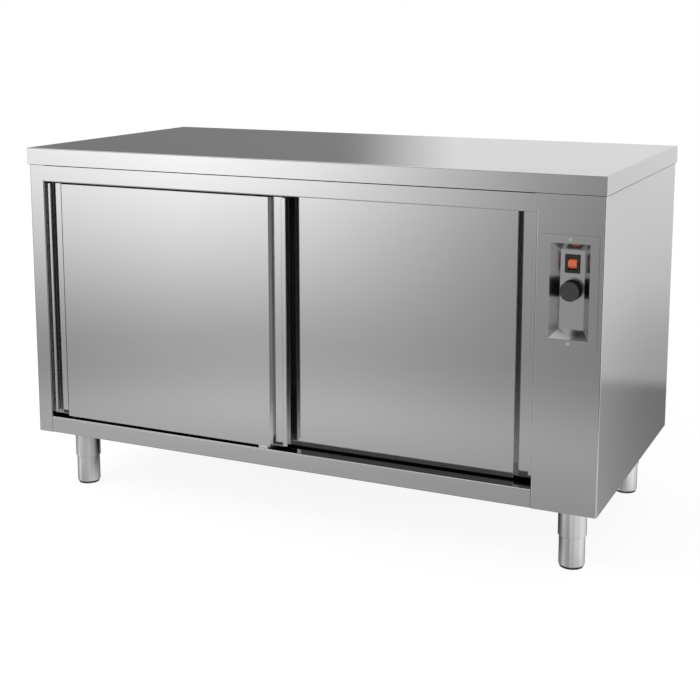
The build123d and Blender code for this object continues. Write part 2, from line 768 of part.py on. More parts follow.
def door_guide():
    """White plastic floor guide with one fin for each door."""
    x0 = RIGHT_DOOR_X + GUIDE_INSET
    x1 = x0 + GUIDE_WIDTH
    top = DOOR_BOTTOM - FREE_CLEAR
    front = FRONT_DOOR + GUIDE_SETBACK
    guide = block(x0, x1, front, REAR_DOOR + BACK_SHEET, OPEN_BOTTOM, top)
    guide = fillet(guide.edges().filter_by(Axis.Z), GUIDE_ROUND)
    for face in (FRONT_DOOR, REAR_DOOR):
        middle = face + (GRIP_BACK + BACK_SHEET) / 2
        half = GUIDE_FIN / 2
        fin_top = DOOR_BOTTOM + GUIDE_FIN_HEIGHT
        inset = GUIDE_FIN_INSET
        fin = block(x0 + inset, x1 - inset, middle - half, middle + half, OPEN_BOTTOM, fin_top)
        guide += chamfer(fin.edges().group_by(Axis.Z)[-1], GUIDE_FIN_BEVEL)
    return guide


def corner_notches(x, face):
    """Clear space under the end grips, where the door's lower corners are cut back."""
    end = x + DOOR_WIDTH
    front = face - OVERCUT
    back = face + DOOR_THICK + OVERCUT
    low = DOOR_BOTTOM - OVERCUT
    high = DOOR_BOTTOM + GRIP_RAISE
    spans = ((x - OVERCUT, x + GRIP_WIDTH), (end - GRIP_WIDTH, end + OVERCUT))
    return [block(x0, x1, front, back, low, high) for x0, x1 in spans]


def door_front(x, face):
    """Front skin: its ends slope back into the finger channels, top and bottom turn in."""
    s = DOOR_SHEET
    h = s / 2
    lean = h * math.hypot(GRIP_SLOPE, GRIP_DEPTH) / GRIP_DEPTH
    lap = GRIP_DEPTH + GRIP_SHEET + h
    drift = GRIP_SLOPE * (lap - h) / GRIP_DEPTH
    edge = GRIP_WIDTH + lean - h * GRIP_SLOPE / GRIP_DEPTH
    half = [
        (edge - drift - GRIP_LAP, lap),
        (edge - drift, lap),
        (edge, h),
    ]
    points = [(x + u, face + v) for u, v in half]
    points += [(x + DOOR_WIDTH - u, face + v) for u, v in reversed(half)]
    height = DOOR_TOP - DOOR_BOTTOM
    skin = folded(Plane.XY.offset(DOOR_BOTTOM), points, s, GRIP_BEND, height)
    end = GRIP_WIDTH + SKIN_RETURN_GAP
    for z in (DOOR_BOTTOM, DOOR_TOP - s):
        skin += block(x + end, x + DOOR_WIDTH - end, face + h, face + GRIP_BACK, z, z + s)
    for notch in corner_notches(x, face):
        skin -= notch
    return skin


def door_grip(x, face, side):
    """Full-height end grip: outer lip, finger channel floor and a closed lower end."""
    g = GRIP_SHEET
    h = g / 2
    floor_end = GRIP_LIP + GRIP_FLOOR - GRIP_SLOPE * g / GRIP_DEPTH - 3 * FREE_CLEAR
    points = [
        (h, BACK_SHEET),
        (h, h),
        (GRIP_LIP - h, h),
        (GRIP_LIP - h, GRIP_DEPTH + h),
        (floor_end, GRIP_DEPTH + h),
    ]
    low = DOOR_BOTTOM + GRIP_RAISE
    grip = folded(Plane.XY.offset(low), points, g, GRIP_BEND, DOOR_TOP - low)
    setback = GRIP_END_SETBACK
    mouth_end = GRIP_WIDTH - setback * GRIP_SLOPE / GRIP_DEPTH - 2 * FREE_CLEAR
    mouth = [
        (GRIP_LIP - h, setback),
        (mouth_end, setback),
        (floor_end, GRIP_DEPTH),
        (floor_end, GRIP_DEPTH + h),
        (GRIP_LIP - h, GRIP_DEPTH + h),
    ]
    end = make_face(Polyline(*mouth, close=True))
    grip += extrude(Plane.XY.offset(low) * end, amount=g)
    reach = GRIP_LIP / 2
    cutter = block(-OVERCUT, GRIP_LIP, -OVERCUT, h + GRIP_BEND, low - OVERCUT, low + reach)
    cutter -= round_bar("Y", (reach, -2 * OVERCUT, low + reach), reach, GRIP_LIP)
    grip -= cutter
    if side > 0:
        grip = mirror(grip, about=Plane.YZ)
        return Pos(x + DOOR_WIDTH, face, 0) * grip
    return Pos(x, face, 0) * grip


def door_back(x, face):
    """Rear sheet of the door, behind the grips' end walls."""
    back = block(
        x,
        x + DOOR_WIDTH,
        face + BACK_SHEET,
        face + DOOR_THICK,
        DOOR_BOTTOM,
        DOOR_TOP,
    )
    for notch in corner_notches(x, face):
        back -= notch
    return back


def door_core(x, face):
    """Insulating board behind the front skin."""
    end = GRIP_WIDTH + CORE_GAP
    s = DOOR_SHEET
    return block(
        x + end,
        x + DOOR_WIDTH - end,
        face + s,
        face + GRIP_BACK,
        DOOR_BOTTOM + s,
        DOOR_TOP - s,
    )


def roller_places(x):
    return (x + ROLLER_INSET, x + DOOR_WIDTH - ROLLER_INSET)


def door_hangers(x, face):
    """Two plates riveted inside the rear sheet, each with the pin of its roller."""
    hangers = []
    for middle in roller_places(x):
        half = HANGER_WIDTH / 2
        plate = block(
            middle - half,
            middle + half,
            face + HANGER_FACE,
            face + BACK_SHEET,
            DOOR_TOP - HANGER_DEPTH,
            ROLLER_Z + HANGER_ABOVE_PIN,
        )
        plate = fillet(plate.edges().filter_by(Axis.Y), HANGER_ROUND)
        spacer_front = face + HANGER_FACE - SPACER
        spacer = round_bar("Y", (middle, spacer_front, ROLLER_Z), PIN_HEAD_R, SPACER)
        pin_front = face + ROLLER_FRONT - FREE_CLEAR
        pin_length = face + HANGER_FACE - pin_front
        pin = round_bar("Y", (middle, pin_front, ROLLER_Z), PIN_R, pin_length)
        head = round_bar("Y", (middle, pin_front - PIN_HEAD, ROLLER_Z), PIN_HEAD_R, PIN_HEAD)
        hangers.append(plate + spacer + pin + head)
    return hangers


def roller(x, face):
    """Nylon roller with a grooved tread that runs on the bead of the track."""
    w = ROLLER_WIDTH / 2
    bore = PIN_R + RUN_CLEAR
    root = BEAD_WIDTH / 2 + FREE_CLEAR
    profile = make_face(
        Polyline(
            (bore, -w),
            (ROLLER_OUTER, -w),
            (ROLLER_OUTER, -root - ROLLER_BEVEL),
            (ROLLER_R, -root),
            (ROLLER_R, root),
            (ROLLER_OUTER, root + ROLLER_BEVEL),
            (ROLLER_OUTER, w),
            (bore, w),
            close=True,
        )
    )
    wheel = revolve(profile, axis=Axis.Y)
    return Pos(x, face + ROLLER_MIDDLE, ROLLER_Z) * wheel


def leg(x, y):
    """Leg sleeve welded to its square mounting plate."""
    low = LEG_HEIGHT - SLEEVE_LENGTH
    sleeve = Circle(SLEEVE_R) - Circle(SLEEVE_R - SLEEVE_WALL)
    body = extrude(Plane.XY.offset(low) * sleeve, amount=SLEEVE_LENGTH)
    outer = body.edges().filter_by(GeomType.CIRCLE).group_by(Axis.Z)[0].sort_by(SortBy.RADIUS)[-1]
    body = chamfer(outer, SLEEVE_BEVEL)
    plate = Rectangle(LEG_PLATE_WIDTH, LEG_PLATE_WIDTH)
    plate = fillet(plate.vertices(), LEG_PLATE_ROUND)
    half = BOLT_PITCH / 2
    for i in (-half, half):
        for j in (-half, half):
            plate -= Pos(i, j) * Circle(BOLT_R + FREE_CLEAR)
    plate -= Circle(SLEEVE_R - SLEEVE_WALL)
    level = LEG_HEIGHT - LEG_PLATE_THICK
    body += extrude(Plane.XY.offset(level) * plate, amount=LEG_PLATE_THICK)
    return Pos(x, y, 0) * body


def foot(x, y):
    """Levelling foot: a tube with a rounded closed end that slides in the sleeve, and its pad."""
    r = SLEEVE_R - SLEEVE_WALL - FREE_CLEAR
    top = LEG_HEIGHT - SLEEVE_LENGTH + FOOT_TRAVEL + FOOT_ENGAGE
    tube = extrude(Plane.XY.offset(PAD_THICK) * Circle(r), amount=top - PAD_THICK)
    tube = fillet(tube.edges().group_by(Axis.Z)[0], FOOT_ROUND)
    bore = PAD_THICK + 2 * FOOT_WALL
    tube -= extrude(Plane.XY.offset(bore) * Circle(r - FOOT_STEP), amount=top)
    wide = bore + FOOT_ROUND
    tube -= extrude(Plane.XY.offset(wide) * Circle(r - FOOT_WALL), amount=top)
    pad = extrude(Circle(r - FOOT_ROUND + PAD_REACH), amount=PAD_THICK)
    pad = chamfer(pad.edges().group_by(Axis.Z)[0], PAD_BEVEL)
    return [Pos(x, y, 0) * tube, Pos(x, y, 0) * pad]


def leg_bolts():
    """Hexagon bolts through the leg plates and the base pan."""
    bolts = []
    seat = BODY_BOTTOM - LEG_PLATE_THICK
    head = extrude(Plane.XY.offset(-BOLT_HEAD) * RegularPolygon(BOLT_HEAD_R, 6), amount=BOLT_HEAD)
    bolt = head + extrude(Circle(BOLT_R), amount=BOLT_LENGTH)
    for x, y in bolt_places():
        bolts.append(Pos(x, y, seat) * bolt)
    return bolts


def dish(wide, tall, slope, front, back):
    """Tapered space between the mouth of the control dish and its floor."""
    mouth = Plane.XZ.offset(-front) * Rectangle(wide, tall)
    floor = Plane.XZ.offset(-back) * Rectangle(wide - 2 * slope, tall - 2 * slope)
    return loft([mouth, floor])


def control_plate():
    """Pressed plate with a deep sloping dish, so that knob and switch stay behind the front."""
    s = PLATE_SHEET
    wide = PLATE_WIDTH / 2
    tall = PLATE_HEIGHT / 2
    flat = block(-wide, wide, 0, s, -tall, tall)
    flat = fillet(flat.edges().filter_by(Axis.Y), PLATE_ROUND)
    rate = DISH_SLOPE / DISH_DEPTH
    skin = 2 * s * math.hypot(1.0, rate)
    deep = DISH_DEPTH + s
    outer = dish(DISH_WIDTH + skin, DISH_HEIGHT + skin, rate * deep, 0.0, deep)
    inner = dish(DISH_WIDTH, DISH_HEIGHT, DISH_SLOPE, 0.0, DISH_DEPTH)
    plate = flat + outer - inner
    switch_hole_x = BEZEL_WIDTH / 2 - SWITCH_WALL + FREE_CLEAR / 2
    switch_hole_z = BEZEL_HEIGHT / 2 - SWITCH_WALL + FREE_CLEAR / 2
    plate -= block(
        -switch_hole_x,
        switch_hole_x,
        DISH_DEPTH - OVERCUT,
        DISH_DEPTH + 2 * s,
        SWITCH_ABOVE - switch_hole_z,
        SWITCH_ABOVE + switch_hole_z,
    )
    hole = SPINDLE_R + SPINDLE_HOLE_CLEAR
    plate -= round_bar("Y", (0, DISH_DEPTH - OVERCUT, 0), hole, 4 * s)
    for z in plate_screw_heights():
        plate -= round_bar("Y", (0, -OVERCUT, z - CONTROL_Z), SCREW_R + SCREW_CLEAR, 4 * s)
    return Pos(CONTROL_X, PLATE_FRONT, CONTROL_Z) * plate


def switch_pocket():
    """Half width and half height of the rocker's pocket in the switch."""
    sweep = ROCKER_PIVOT * math.sin(math.radians(ROCKER_TILT))
    return ROCKER_WIDTH / 2 + FREE_CLEAR, ROCKER_HEIGHT / 2 + sweep + 2 * FREE_CLEAR


def switch_housing():
    """Snap-in switch: a bevelled bezel on the dish floor and a boxed body behind it."""
    face = DISH_FLOOR - BEZEL_THICK
    bezel = block(
        -BEZEL_WIDTH / 2, BEZEL_WIDTH / 2, face, DISH_FLOOR, -BEZEL_HEIGHT / 2, BEZEL_HEIGHT / 2
    )
    bezel = fillet(bezel.edges().filter_by(Axis.Y), BEZEL_ROUND)
    bezel = chamfer(bezel.edges().group_by(Axis.Y)[0], BEZEL_BEVEL)
    wide = BEZEL_WIDTH / 2 - SWITCH_WALL
    tall = BEZEL_HEIGHT / 2 - SWITCH_WALL
    body = bezel + block(-wide, wide, DISH_FLOOR, DISH_FLOOR + SWITCH_BODY, -tall, tall)
    pocket_x, pocket_z = switch_pocket()
    depth = ROCKER_PIVOT + ROCKER_HEIGHT / 2 + POCKET_SPARE
    body -= block(-pocket_x, pocket_x, face - OVERCUT, face + depth, -pocket_z, pocket_z)
    hole = ROCKER_PIN_R + RUN_CLEAR
    reach = pocket_x + PIN_SOCKET
    body -= round_bar("X", (-reach, face + ROCKER_PIVOT, 0), hole, 2 * reach)
    return Pos(CONTROL_X, 0, SWITCH_Z) * body


def switch_rocker():
    """Rocker with two finger faces that meet in a shallow valley, on its two pivot pins."""
    half = ROCKER_HEIGHT / 2
    dip = half * math.tan(math.radians(ROCKER_TILT))
    stand = ROCKER_PIVOT + ROCKER_PROUD
    line = Polyline((-half, -stand), (0, -stand + dip), (half, -stand))
    back = ThreePointArc((half, -stand), (0, half - ROCKER_BACK_CLEAR), (-half, -stand))
    section = make_face([*line.edges(), *back.edges()])
    body = extrude(Plane.YZ * (Rot(0, 0, 90) * section), amount=ROCKER_WIDTH / 2, both=True)
    pocket_x, _ = switch_pocket()
    reach = pocket_x + ROCKER_PIN_END
    body += round_bar("X", (-reach, 0, 0), ROCKER_PIN_R, 2 * reach)
    pivot = Pos(CONTROL_X, DISH_FLOOR - BEZEL_THICK + ROCKER_PIVOT, SWITCH_Z)
    return pivot * Rot(-ROCKER_TILT, 0, 0) * body


def thermostat():
    """Round thermostat body behind the dish floor, with its two terminal tabs."""
    back = DISH_FLOOR + PLATE_SHEET
    body = round_bar("Y", (CONTROL_X, back, CONTROL_Z), THERMOSTAT_R, THERMOSTAT_DEPTH)
    rim = body.edges().filter_by(GeomType.CIRCLE).group_by(Axis.Y)[-1]
    body = fillet(rim, THERMOSTAT_ROUND)
    for i in (-1, 1):
        middle = CONTROL_X + TAB_SPACING / 2 * i
        body += block(
            middle - TAB_WIDTH / 2,
            middle + TAB_WIDTH / 2,
            back + THERMOSTAT_DEPTH,
            back + THERMOSTAT_DEPTH + TAB_LENGTH,
            CONTROL_Z - TAB_SHEET / 2,
            CONTROL_Z + TAB_SHEET / 2,
        )
    start = (CONTROL_X, DISH_FLOOR, CONTROL_Z)
    return body - round_bar("Y", start, SPINDLE_R + RUN_CLEAR, SPINDLE_REACH + SOCKET_SPARE)


def thermostat_knob():
    """Plain round knob with a slightly drawn-in side, a broken edge and a pointer groove."""
    back = -KNOB_GAP
    front = back - KNOB_DEPTH
    profile = make_face(
        Polyline((0, back), (KNOB_R, back), (KNOB_R - KNOB_DRAFT, front), (0, front), close=True)
    )
    knob = revolve(profile, axis=Axis.Y)
    knob = fillet(knob.edges().filter_by(GeomType.CIRCLE).group_by(Axis.Y)[0], KNOB_ROUND)
    half = POINTER_WIDTH / 2
    inner = KNOB_R - POINTER_LENGTH
    deep = front + POINTER_DEPTH
    knob -= block(-half, half, front - OVERCUT, deep, inner, KNOB_R + OVERCUT)
    knob -= round_bar("Y", (0, back - KNOB_SOCKET, 0), SPINDLE_R, KNOB_SOCKET + OVERCUT)
    return Pos(CONTROL_X, DISH_FLOOR, CONTROL_Z) * knob


def thermostat_spindle():
    """Spindle pressed into the knob; it turns in the thermostat."""
    front = DISH_FLOOR - KNOB_GAP - KNOB_SOCKET
    length = KNOB_SOCKET + KNOB_GAP + SPINDLE_REACH
    return round_bar("Y", (CONTROL_X, front, CONTROL_Z), SPINDLE_R, length)


def heater_box():
    """Pressed box around fan and element, screwed to the chamber wall."""
    half = HEATER_BOX_WIDTH / 2
    x1 = COLUMN_LEFT + HEATER_BOX_DEPTH
    box = block(COLUMN_LEFT, x1, FAN_Y - half, FAN_Y + half, FAN_Z - half, FAN_Z + half)
    box = fillet(box.edges().filter_by(Axis.X), HEATER_BOX_ROUND)
    s = SHEET
    hollow = block(
        COLUMN_LEFT - OVERCUT,
        x1 - s,
        FAN_Y - half + s,
        FAN_Y + half - s,
        FAN_Z - half + s,
        FAN_Z + half - s,
    )
    box -= fillet(hollow.edges().filter_by(Axis.X), HEATER_BOX_ROUND - s)
    box -= round_bar("X", (x1 - 2 * s, FAN_Y, FAN_Z), SHAFT_R + SHAFT_HOLE_CLEAR, 4 * s)
    for y in element_tails():
        z = FAN_Z - ELEMENT_LOOP / 2
        box -= round_bar("X", (x1 - 2 * s, y, z), ELEMENT_R + FREE_CLEAR, 4 * s)
    return box


def element_tails():
    return (FAN_Y - ELEMENT_TAIL_PITCH / 2, FAN_Y + ELEMENT_TAIL_PITCH / 2)


def fan_motor():
    """Shaded-pole style motor on the outside of the heater box."""
    x = COLUMN_LEFT + HEATER_BOX_DEPTH
    body = round_bar("X", (x, FAN_Y, FAN_Z), MOTOR_R, MOTOR_LENGTH)
    body = fillet(body.edges().filter_by(GeomType.CIRCLE).group_by(Axis.X)[-1], MOTOR_ROUND)
    half = GROOVE_WIDTH / 2
    floor = MOTOR_R - GROOVE_DEPTH
    end = MOTOR_LENGTH - GROOVE_INSET
    groove = block(GROOVE_INSET, end, -half, half, floor, MOTOR_R + OVERCUT)
    for i in range(MOTOR_GROOVES):
        body -= Pos(x, FAN_Y, FAN_Z) * Rot(360.0 / MOTOR_GROOVES * i, 0, 0) * groove
    socket = SHAFT_REACH + 2 * OVERCUT
    return body - round_bar("X", (x - OVERCUT, FAN_Y, FAN_Z), SHAFT_R + RUN_CLEAR, socket)


def fan_impeller():
    """Forward-curved drum impeller: back disc, hub with shaft, blades and front ring."""
    disc = extrude(Plane.YZ.offset(FAN_WIDTH) * Circle(FAN_R), amount=FAN_SHEET)
    hub = extrude(Plane.YZ.offset(FAN_WIDTH - HUB_LENGTH) * Circle(HUB_R), amount=HUB_LENGTH)
    reach = COLUMN_LEFT + HEATER_BOX_DEPTH + SHAFT_REACH - FAN_X - FAN_WIDTH
    shaft = extrude(Plane.YZ.offset(FAN_WIDTH) * Circle(SHAFT_R), amount=reach)
    ring = extrude(Plane.YZ * (Circle(FAN_R) - Circle(FAN_R - FAN_RING)), amount=FAN_SHEET)
    inner = FAN_R - BLADE_CHORD
    outer = FAN_R - BLADE_TIP_INSET
    arc = ThreePointArc((inner, 0), ((inner + outer) / 2, BLADE_BOW), (outer, BLADE_SWEEP))
    blade = extrude(Plane.YZ * trace(arc, BLADE_SHEET), amount=FAN_WIDTH + FAN_SHEET / 2)
    fan = disc + hub + shaft + ring
    for i in range(FAN_BLADES):
        fan += Rot(360.0 / FAN_BLADES * i, 0, 0) * blade
    return Pos(FAN_X, FAN_Y, FAN_Z) * fan


def heating_element():
    """Tubular element bent round the fan, its two ends brought out through the box."""
    half = ELEMENT_LOOP / 2
    x = FAN_X + FAN_WIDTH / 2
    out = COLUMN_LEFT + HEATER_BOX_DEPTH + ELEMENT_TAIL
    tail_a, tail_b = element_tails()
    low = FAN_Z - half
    high = FAN_Z + half
    bends = [ELEMENT_TAIL_BEND, *[ELEMENT_BEND] * 4, ELEMENT_TAIL_BEND]
    path = FilletPolyline(
        (out, tail_a, low),
        (x, tail_a, low),
        (x, FAN_Y - half, low),
        (x, FAN_Y - half, high),
        (x, FAN_Y + half, high),
        (x, FAN_Y + half, low),
        (x, tail_b, low),
        (out, tail_b, low),
        radius=bends,
    )
    section = Plane(origin=path @ 0, z_dir=path % 0) * Circle(ELEMENT_R)
    return sweep(section, path=path)


def terminal_block():
    """Ceramic terminal block on the base pan, where the mains lead is joined."""
    x = TERMINAL_LENGTH / 2
    y = TERMINAL_WIDTH / 2
    body = block(-x, x, -y, y, 0, TERMINAL_HEIGHT)
    body = fillet(body.edges().group_by(Axis.Z)[-1], TERMINAL_ROUND)
    pole_floor = TERMINAL_HEIGHT - POLE_DEPTH
    half = WIRE_WAY_WIDTH / 2
    deep = y - WIRE_WAY_DEPTH
    for i in range(POLES):
        middle = POLE_PITCH * (i - (POLES - 1) / 2)
        body -= round_bar("Z", (middle, 0, pole_floor), POLE_R, POLE_DEPTH + OVERCUT)
        for side in (-1, 1):
            body -= block(
                middle - half,
                middle + half,
                side * deep,
                side * (y + OVERCUT),
                pole_floor - WIRE_WAY_HEIGHT,
                pole_floor,
            )
    return Pos(COVER_X, BODY_Y - TERMINAL_FROM_BACK, PAN_TOP) * body


def cable_gland():
    """Cable gland: neck through the base pan, hexagon collar below it, domed nut and its bore."""
    hexagon = RegularPolygon(GLAND_HEX_R, 6)
    neck_top = SHEET + GLAND_NUT + GLAND_NECK_ABOVE_NUT
    low = -GLAND_COLLAR - GLAND_DOME
    neck = extrude(Circle(GLAND_NECK_R), amount=neck_top)
    collar = Pos(0, 0, -GLAND_COLLAR) * extrude(hexagon, amount=GLAND_COLLAR)
    dome = Pos(0, 0, low) * extrude(Circle(GLAND_BODY_R), amount=GLAND_DOME)
    dome = fillet(dome.edges().group_by(Axis.Z)[0], GLAND_DOME_ROUND)
    nut = Pos(0, 0, SHEET) * extrude(hexagon, amount=GLAND_NUT)
    gland = neck + collar + dome + nut
    gland -= round_bar("Z", (0, 0, low - OVERCUT), GLAND_R, neck_top - low + 2 * OVERCUT)
    return Pos(COVER_X, GLAND_Y, BODY_BOTTOM) * gland


def door(name, x, face):
    """All the pieces of one sliding door."""
    left_roller, right_roller = roller_places(x)
    return {
        name + "_front": door_front(x, face),
        name + "_back": door_back(x, face),
        name + "_core": door_core(x, face),
        name + "_left_grip": door_grip(x, face, -1),
        name + "_right_grip": door_grip(x, face, 1),
        name + "_hangers": door_hangers(x, face),
        name + "_left_roller": roller(left_roller, face),
        name + "_right_roller": roller(right_roller, face),
    }


def cabinet():
    """Every named piece of the cabinet."""
    parts = {
        "worktop": worktop(),
        "worktop_stiffeners": worktop_stiffeners(),
        "front_frame": front_frame(),
        "bottom_rail": bottom_rail(),
        "left_side_panel": side_panel(-1),
        "right_side_panel": side_panel(1),
        "back_panel": back_panel(),
        "service_cover": service_cover(),
        "cover_screws": cover_screws(),
        "base_pan": base_pan(),
        "chamber_floor": chamber_floor(),
        "chamber_ceiling": chamber_ceiling(),
        "chamber_left_wall": chamber_left_wall(),
        "chamber_back_wall": chamber_back_wall(),
        "chamber_partition": chamber_partition(),
        "insulation": insulation(),
        "middle_shelf": middle_shelf(),
        "shelf_uprights": shelf_uprights(),
        "shelf_clips": shelf_clips(),
        "door_track": door_track(),
        "door_stops": door_stops(),
        "door_guide": door_guide(),
        "leg_bolts": leg_bolts(),
        "control_plate": control_plate(),
        "plate_screws": plate_screws(),
        "switch_housing": switch_housing(),
        "switch_rocker": switch_rocker(),
        "thermostat": thermostat(),
        "thermostat_knob": thermostat_knob(),
        "thermostat_spindle": thermostat_spindle(),
        "heater_box": heater_box(),
        "fan_motor": fan_motor(),
        "fan_impeller": fan_impeller(),
        "heating_element": heating_element(),
        "terminal_block": terminal_block(),
        "cable_gland": cable_gland(),
    }
    parts.update(door("left_door", LEFT_DOOR_X, FRONT_DOOR))
    parts.update(door("right_door", RIGHT_DOOR_X, REAR_DOOR))
    for corner, (x, y) in leg_places().items():
        parts[corner + "_leg"] = leg(x, y)
        parts[corner + "_foot"] = foot(x, y)
    return parts


def write(parts):
    """One STEP file for each named piece."""
    os.makedirs("parts", exist_ok=True)
    for name, shape in parts.items():
        solids = shape if isinstance(shape, list) else [shape]
        flat = [solid for piece in solids for solid in piece.solids()]
        whole = Compound(children=flat) if len(flat) > 1 else flat[0]
        whole.label = name
        export_step(whole, f"parts/{name}.step")


write(cabinet())
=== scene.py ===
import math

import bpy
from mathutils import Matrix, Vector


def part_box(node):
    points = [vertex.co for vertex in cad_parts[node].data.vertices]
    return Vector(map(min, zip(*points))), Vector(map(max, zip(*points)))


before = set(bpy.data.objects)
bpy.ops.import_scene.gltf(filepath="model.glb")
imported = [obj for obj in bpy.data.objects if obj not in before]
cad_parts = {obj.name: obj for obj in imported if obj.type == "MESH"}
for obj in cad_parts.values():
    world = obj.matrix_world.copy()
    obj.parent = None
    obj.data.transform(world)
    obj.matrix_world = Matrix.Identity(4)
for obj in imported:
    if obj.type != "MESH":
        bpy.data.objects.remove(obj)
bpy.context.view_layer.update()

# %% [markdown]
# # A plate warmer cabinet in brushed stainless steel
# The cabinet is folded from steel sheet: a worktop, a body with two sliding doors and a control
# dish, and four round legs on screw feet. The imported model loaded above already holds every
# rigid piece at its real size, in metres, so this lesson is about light and finishes.
#
# Brushed steel has hardly any colour of its own. What the eye reads as "stainless" is the room
# that it mirrors, softened by thousands of fine scratches. So the studio is built first and with
# the most care, and the finishes come after it.

# %% [markdown]
# ## Camera
# A long, low cabinet shows best from a little to the right and from above the worktop, through a
# long lens, so that its upright edges stay almost parallel. The camera tips down only a little,
# and shifting the lens lowers the view by the rest, as is done for tall buildings: tipping the
# camera further would make the legs lean towards each other.

# %% Camera
LENS = 66.8  # millimetres
SHIFT_DOWN = 0.164  # of the picture's width
CAMERA_PLACE = (1.297, -2.831, 1.142)
TIP_DOWN, TURN_LEFT = 9.26, 24.82  # degrees

camera_data = bpy.data.cameras.new("camera")
camera_data.lens = LENS
camera_data.shift_y = -SHIFT_DOWN
camera = bpy.data.objects.new("camera", camera_data)
camera.location = CAMERA_PLACE
camera.rotation_euler = (math.radians(90 - TIP_DOWN), 0, math.radians(TURN_LEFT))
bpy.context.scene.collection.objects.link(camera)
bpy.context.scene.camera = camera
print("camera", [round(c, 3) for c in camera.location], "lens", camera_data.lens, "mm")

# %% [markdown]
# ## Two helpers
# A colour is easiest to read as a web colour, but shader nodes work with linear light, where
# mid grey is 0.216 and not 0.5. One function turns the first into the second. The other adds a
# node, sets it up and wires it in one line, so that a whole material stays readable.
#
# A Mix node keeps its sockets for numbers and those for colours side by side, under the same
# names, so they are picked by their places in the list. The places get names here: 0 is what the
# node gives where its factor is 0, and 1 is what it gives where the factor is 1.

# %% Colour and node helpers
LEVEL_0, LEVEL_1 = 2, 3
TINT_0, TINT_1, TINTED = 6, 7, 2


def linear(web_colour):
    """Linear RGBA of a web colour such as 'D8D8D6'."""
    parts = [int(web_colour[i : i + 2], 16) / 255 for i in (0, 2, 4)]
    return [c / 12.92 if c <= 0.04045 else ((c + 0.055) / 1.055) ** 2.4 for c in parts] + [1.0]


def add(tree, kind, inputs=None, stops=(), **settings):
    """Adds a node, sets it, fills or wires its inputs and places the stops of a ramp."""
    node = tree.nodes.new(kind)
    for name, value in settings.items():
        setattr(node, name, value)
    for place, value in (inputs or {}).items():
        if isinstance(value, bpy.types.NodeSocket):
            tree.links.new(value, node.inputs[place])
        else:
            node.inputs[place].default_value = value
    for i, (place, level) in enumerate(stops):
        ramp = node.color_ramp.elements
        stop = ramp[i] if i < len(ramp) else ramp.new(place)
        stop.position, stop.color = place, (level, level, level, 1)
    return node


bpy.context.scene.view_settings.view_transform = "Standard"
print("mid grey in linear light", round(linear("808080")[0], 3))

# %% [markdown]
# ## Studio
# The room is white and the camera sees only that white. Steel in a plain white room would look
# like chalk, though, so things are hung up for it to mirror: grey cloths low down in front and
# behind, a long soft light to the front left, and a dark screen at the back left that turns half
# of the worktop dark. They could be glowing sheets stood round the cabinet. Here they are levels
# of light by direction in the world instead, because sheets would get in the way when the cabinet
# is looked at from another side. They belong to the room and don't turn with the camera.
#
# A direction is given by how far it points to the right and how far it points up, each from -1
# to 1. Half of that above and below the horizon is enough for everything that hangs there. What
# hangs in front is a little out of level, so its heights are read along a sloping line.

# %% Directions in the room
HEIGHTS = 0.5  # reach of the levels above and below the horizon
SLOPE, DROP = 0.11, 0.044  # what hangs in front is a little low, and lower on the right

world = bpy.data.worlds.new("studio")
bpy.context.scene.world = world
world.use_nodes = True
studio = world.node_tree
studio.nodes.clear()
outward = add(studio, "ShaderNodeTexCoord").outputs["Generated"]
turned = add(studio, "ShaderNodeSeparateXYZ", {0: outward})
east, north, up = turned.outputs
sloping = add(studio, "ShaderNodeMath", {0: east, 1: SLOPE, 2: DROP}, operation="MULTIPLY_ADD")
up_front = add(studio, "ShaderNodeMath", {0: up, 1: sloping.outputs[0]})
across = add(studio, "ShaderNodeMapRange", {"Value": east, "From Min": -1.0, "From Max": 1.0})
height = add(studio, "ShaderNodeMapRange", {"Value": up, "From Min": -HEIGHTS, "From Max": HEIGHTS})
height_front = add(studio, "ShaderNodeMapRange",
                   {"Value": up_front.outputs[0], "From Min": -HEIGHTS, "From Max": HEIGHTS})
print("the studio is mapped from", -HEIGHTS, "to", HEIGHTS, "in height")

# %% [markdown]
# A cloth or a light is soft at its edges. Two short lists say how it fades, one by height and one
# from left to right, and the level of light in a direction is the product of both. A painted map
# of the room could hold it all, but in two lists each edge can be moved by itself. Each new cloth
# or light is added to those that hang there already.

# %% Cloths and lights in the room


def by_height(levels):
    """Ramp stops for levels of light given by height, -0.5 low to 0.5 high."""
    return [(0.5 + z / (2 * HEIGHTS), level) for z, level in levels]


def by_side(levels):
    """Ramp stops for levels of light given from -1 at the left to 1 at the right."""
    return [((x + 1) / 2, level) for x, level in levels]


def hang(heights, sides, rise, others=0.0):
    """A cloth or light with its levels by height and by side, added to the others."""
    tall = add(studio, "ShaderNodeValToRGB", {0: rise.outputs[0]}, by_height(heights))
    wide = add(studio, "ShaderNodeValToRGB", {0: across.outputs[0]}, by_side(sides))
    hung = add(studio, "ShaderNodeMath", {0: tall.outputs[0], 1: wide.outputs[0], 2: others},
               operation="MULTIPLY_ADD")
    brightest = max(level for _, level in heights) * max(level for _, level in sides)
    print("hung at heights", heights[0][0], "to", heights[-1][0], "brightest", round(brightest, 2))
    return hung.outputs[0]


# %% [markdown]
# ### The ground in front
# Low down lies the lit floor, which gives the legs their bright stripes. It is brightest to the
# right and dark between the left and the middle, which is where the control column looks. On the
# left, where the paper curves up, a lighter strip runs across. It makes the pale band near the
# lower edge of the doors.

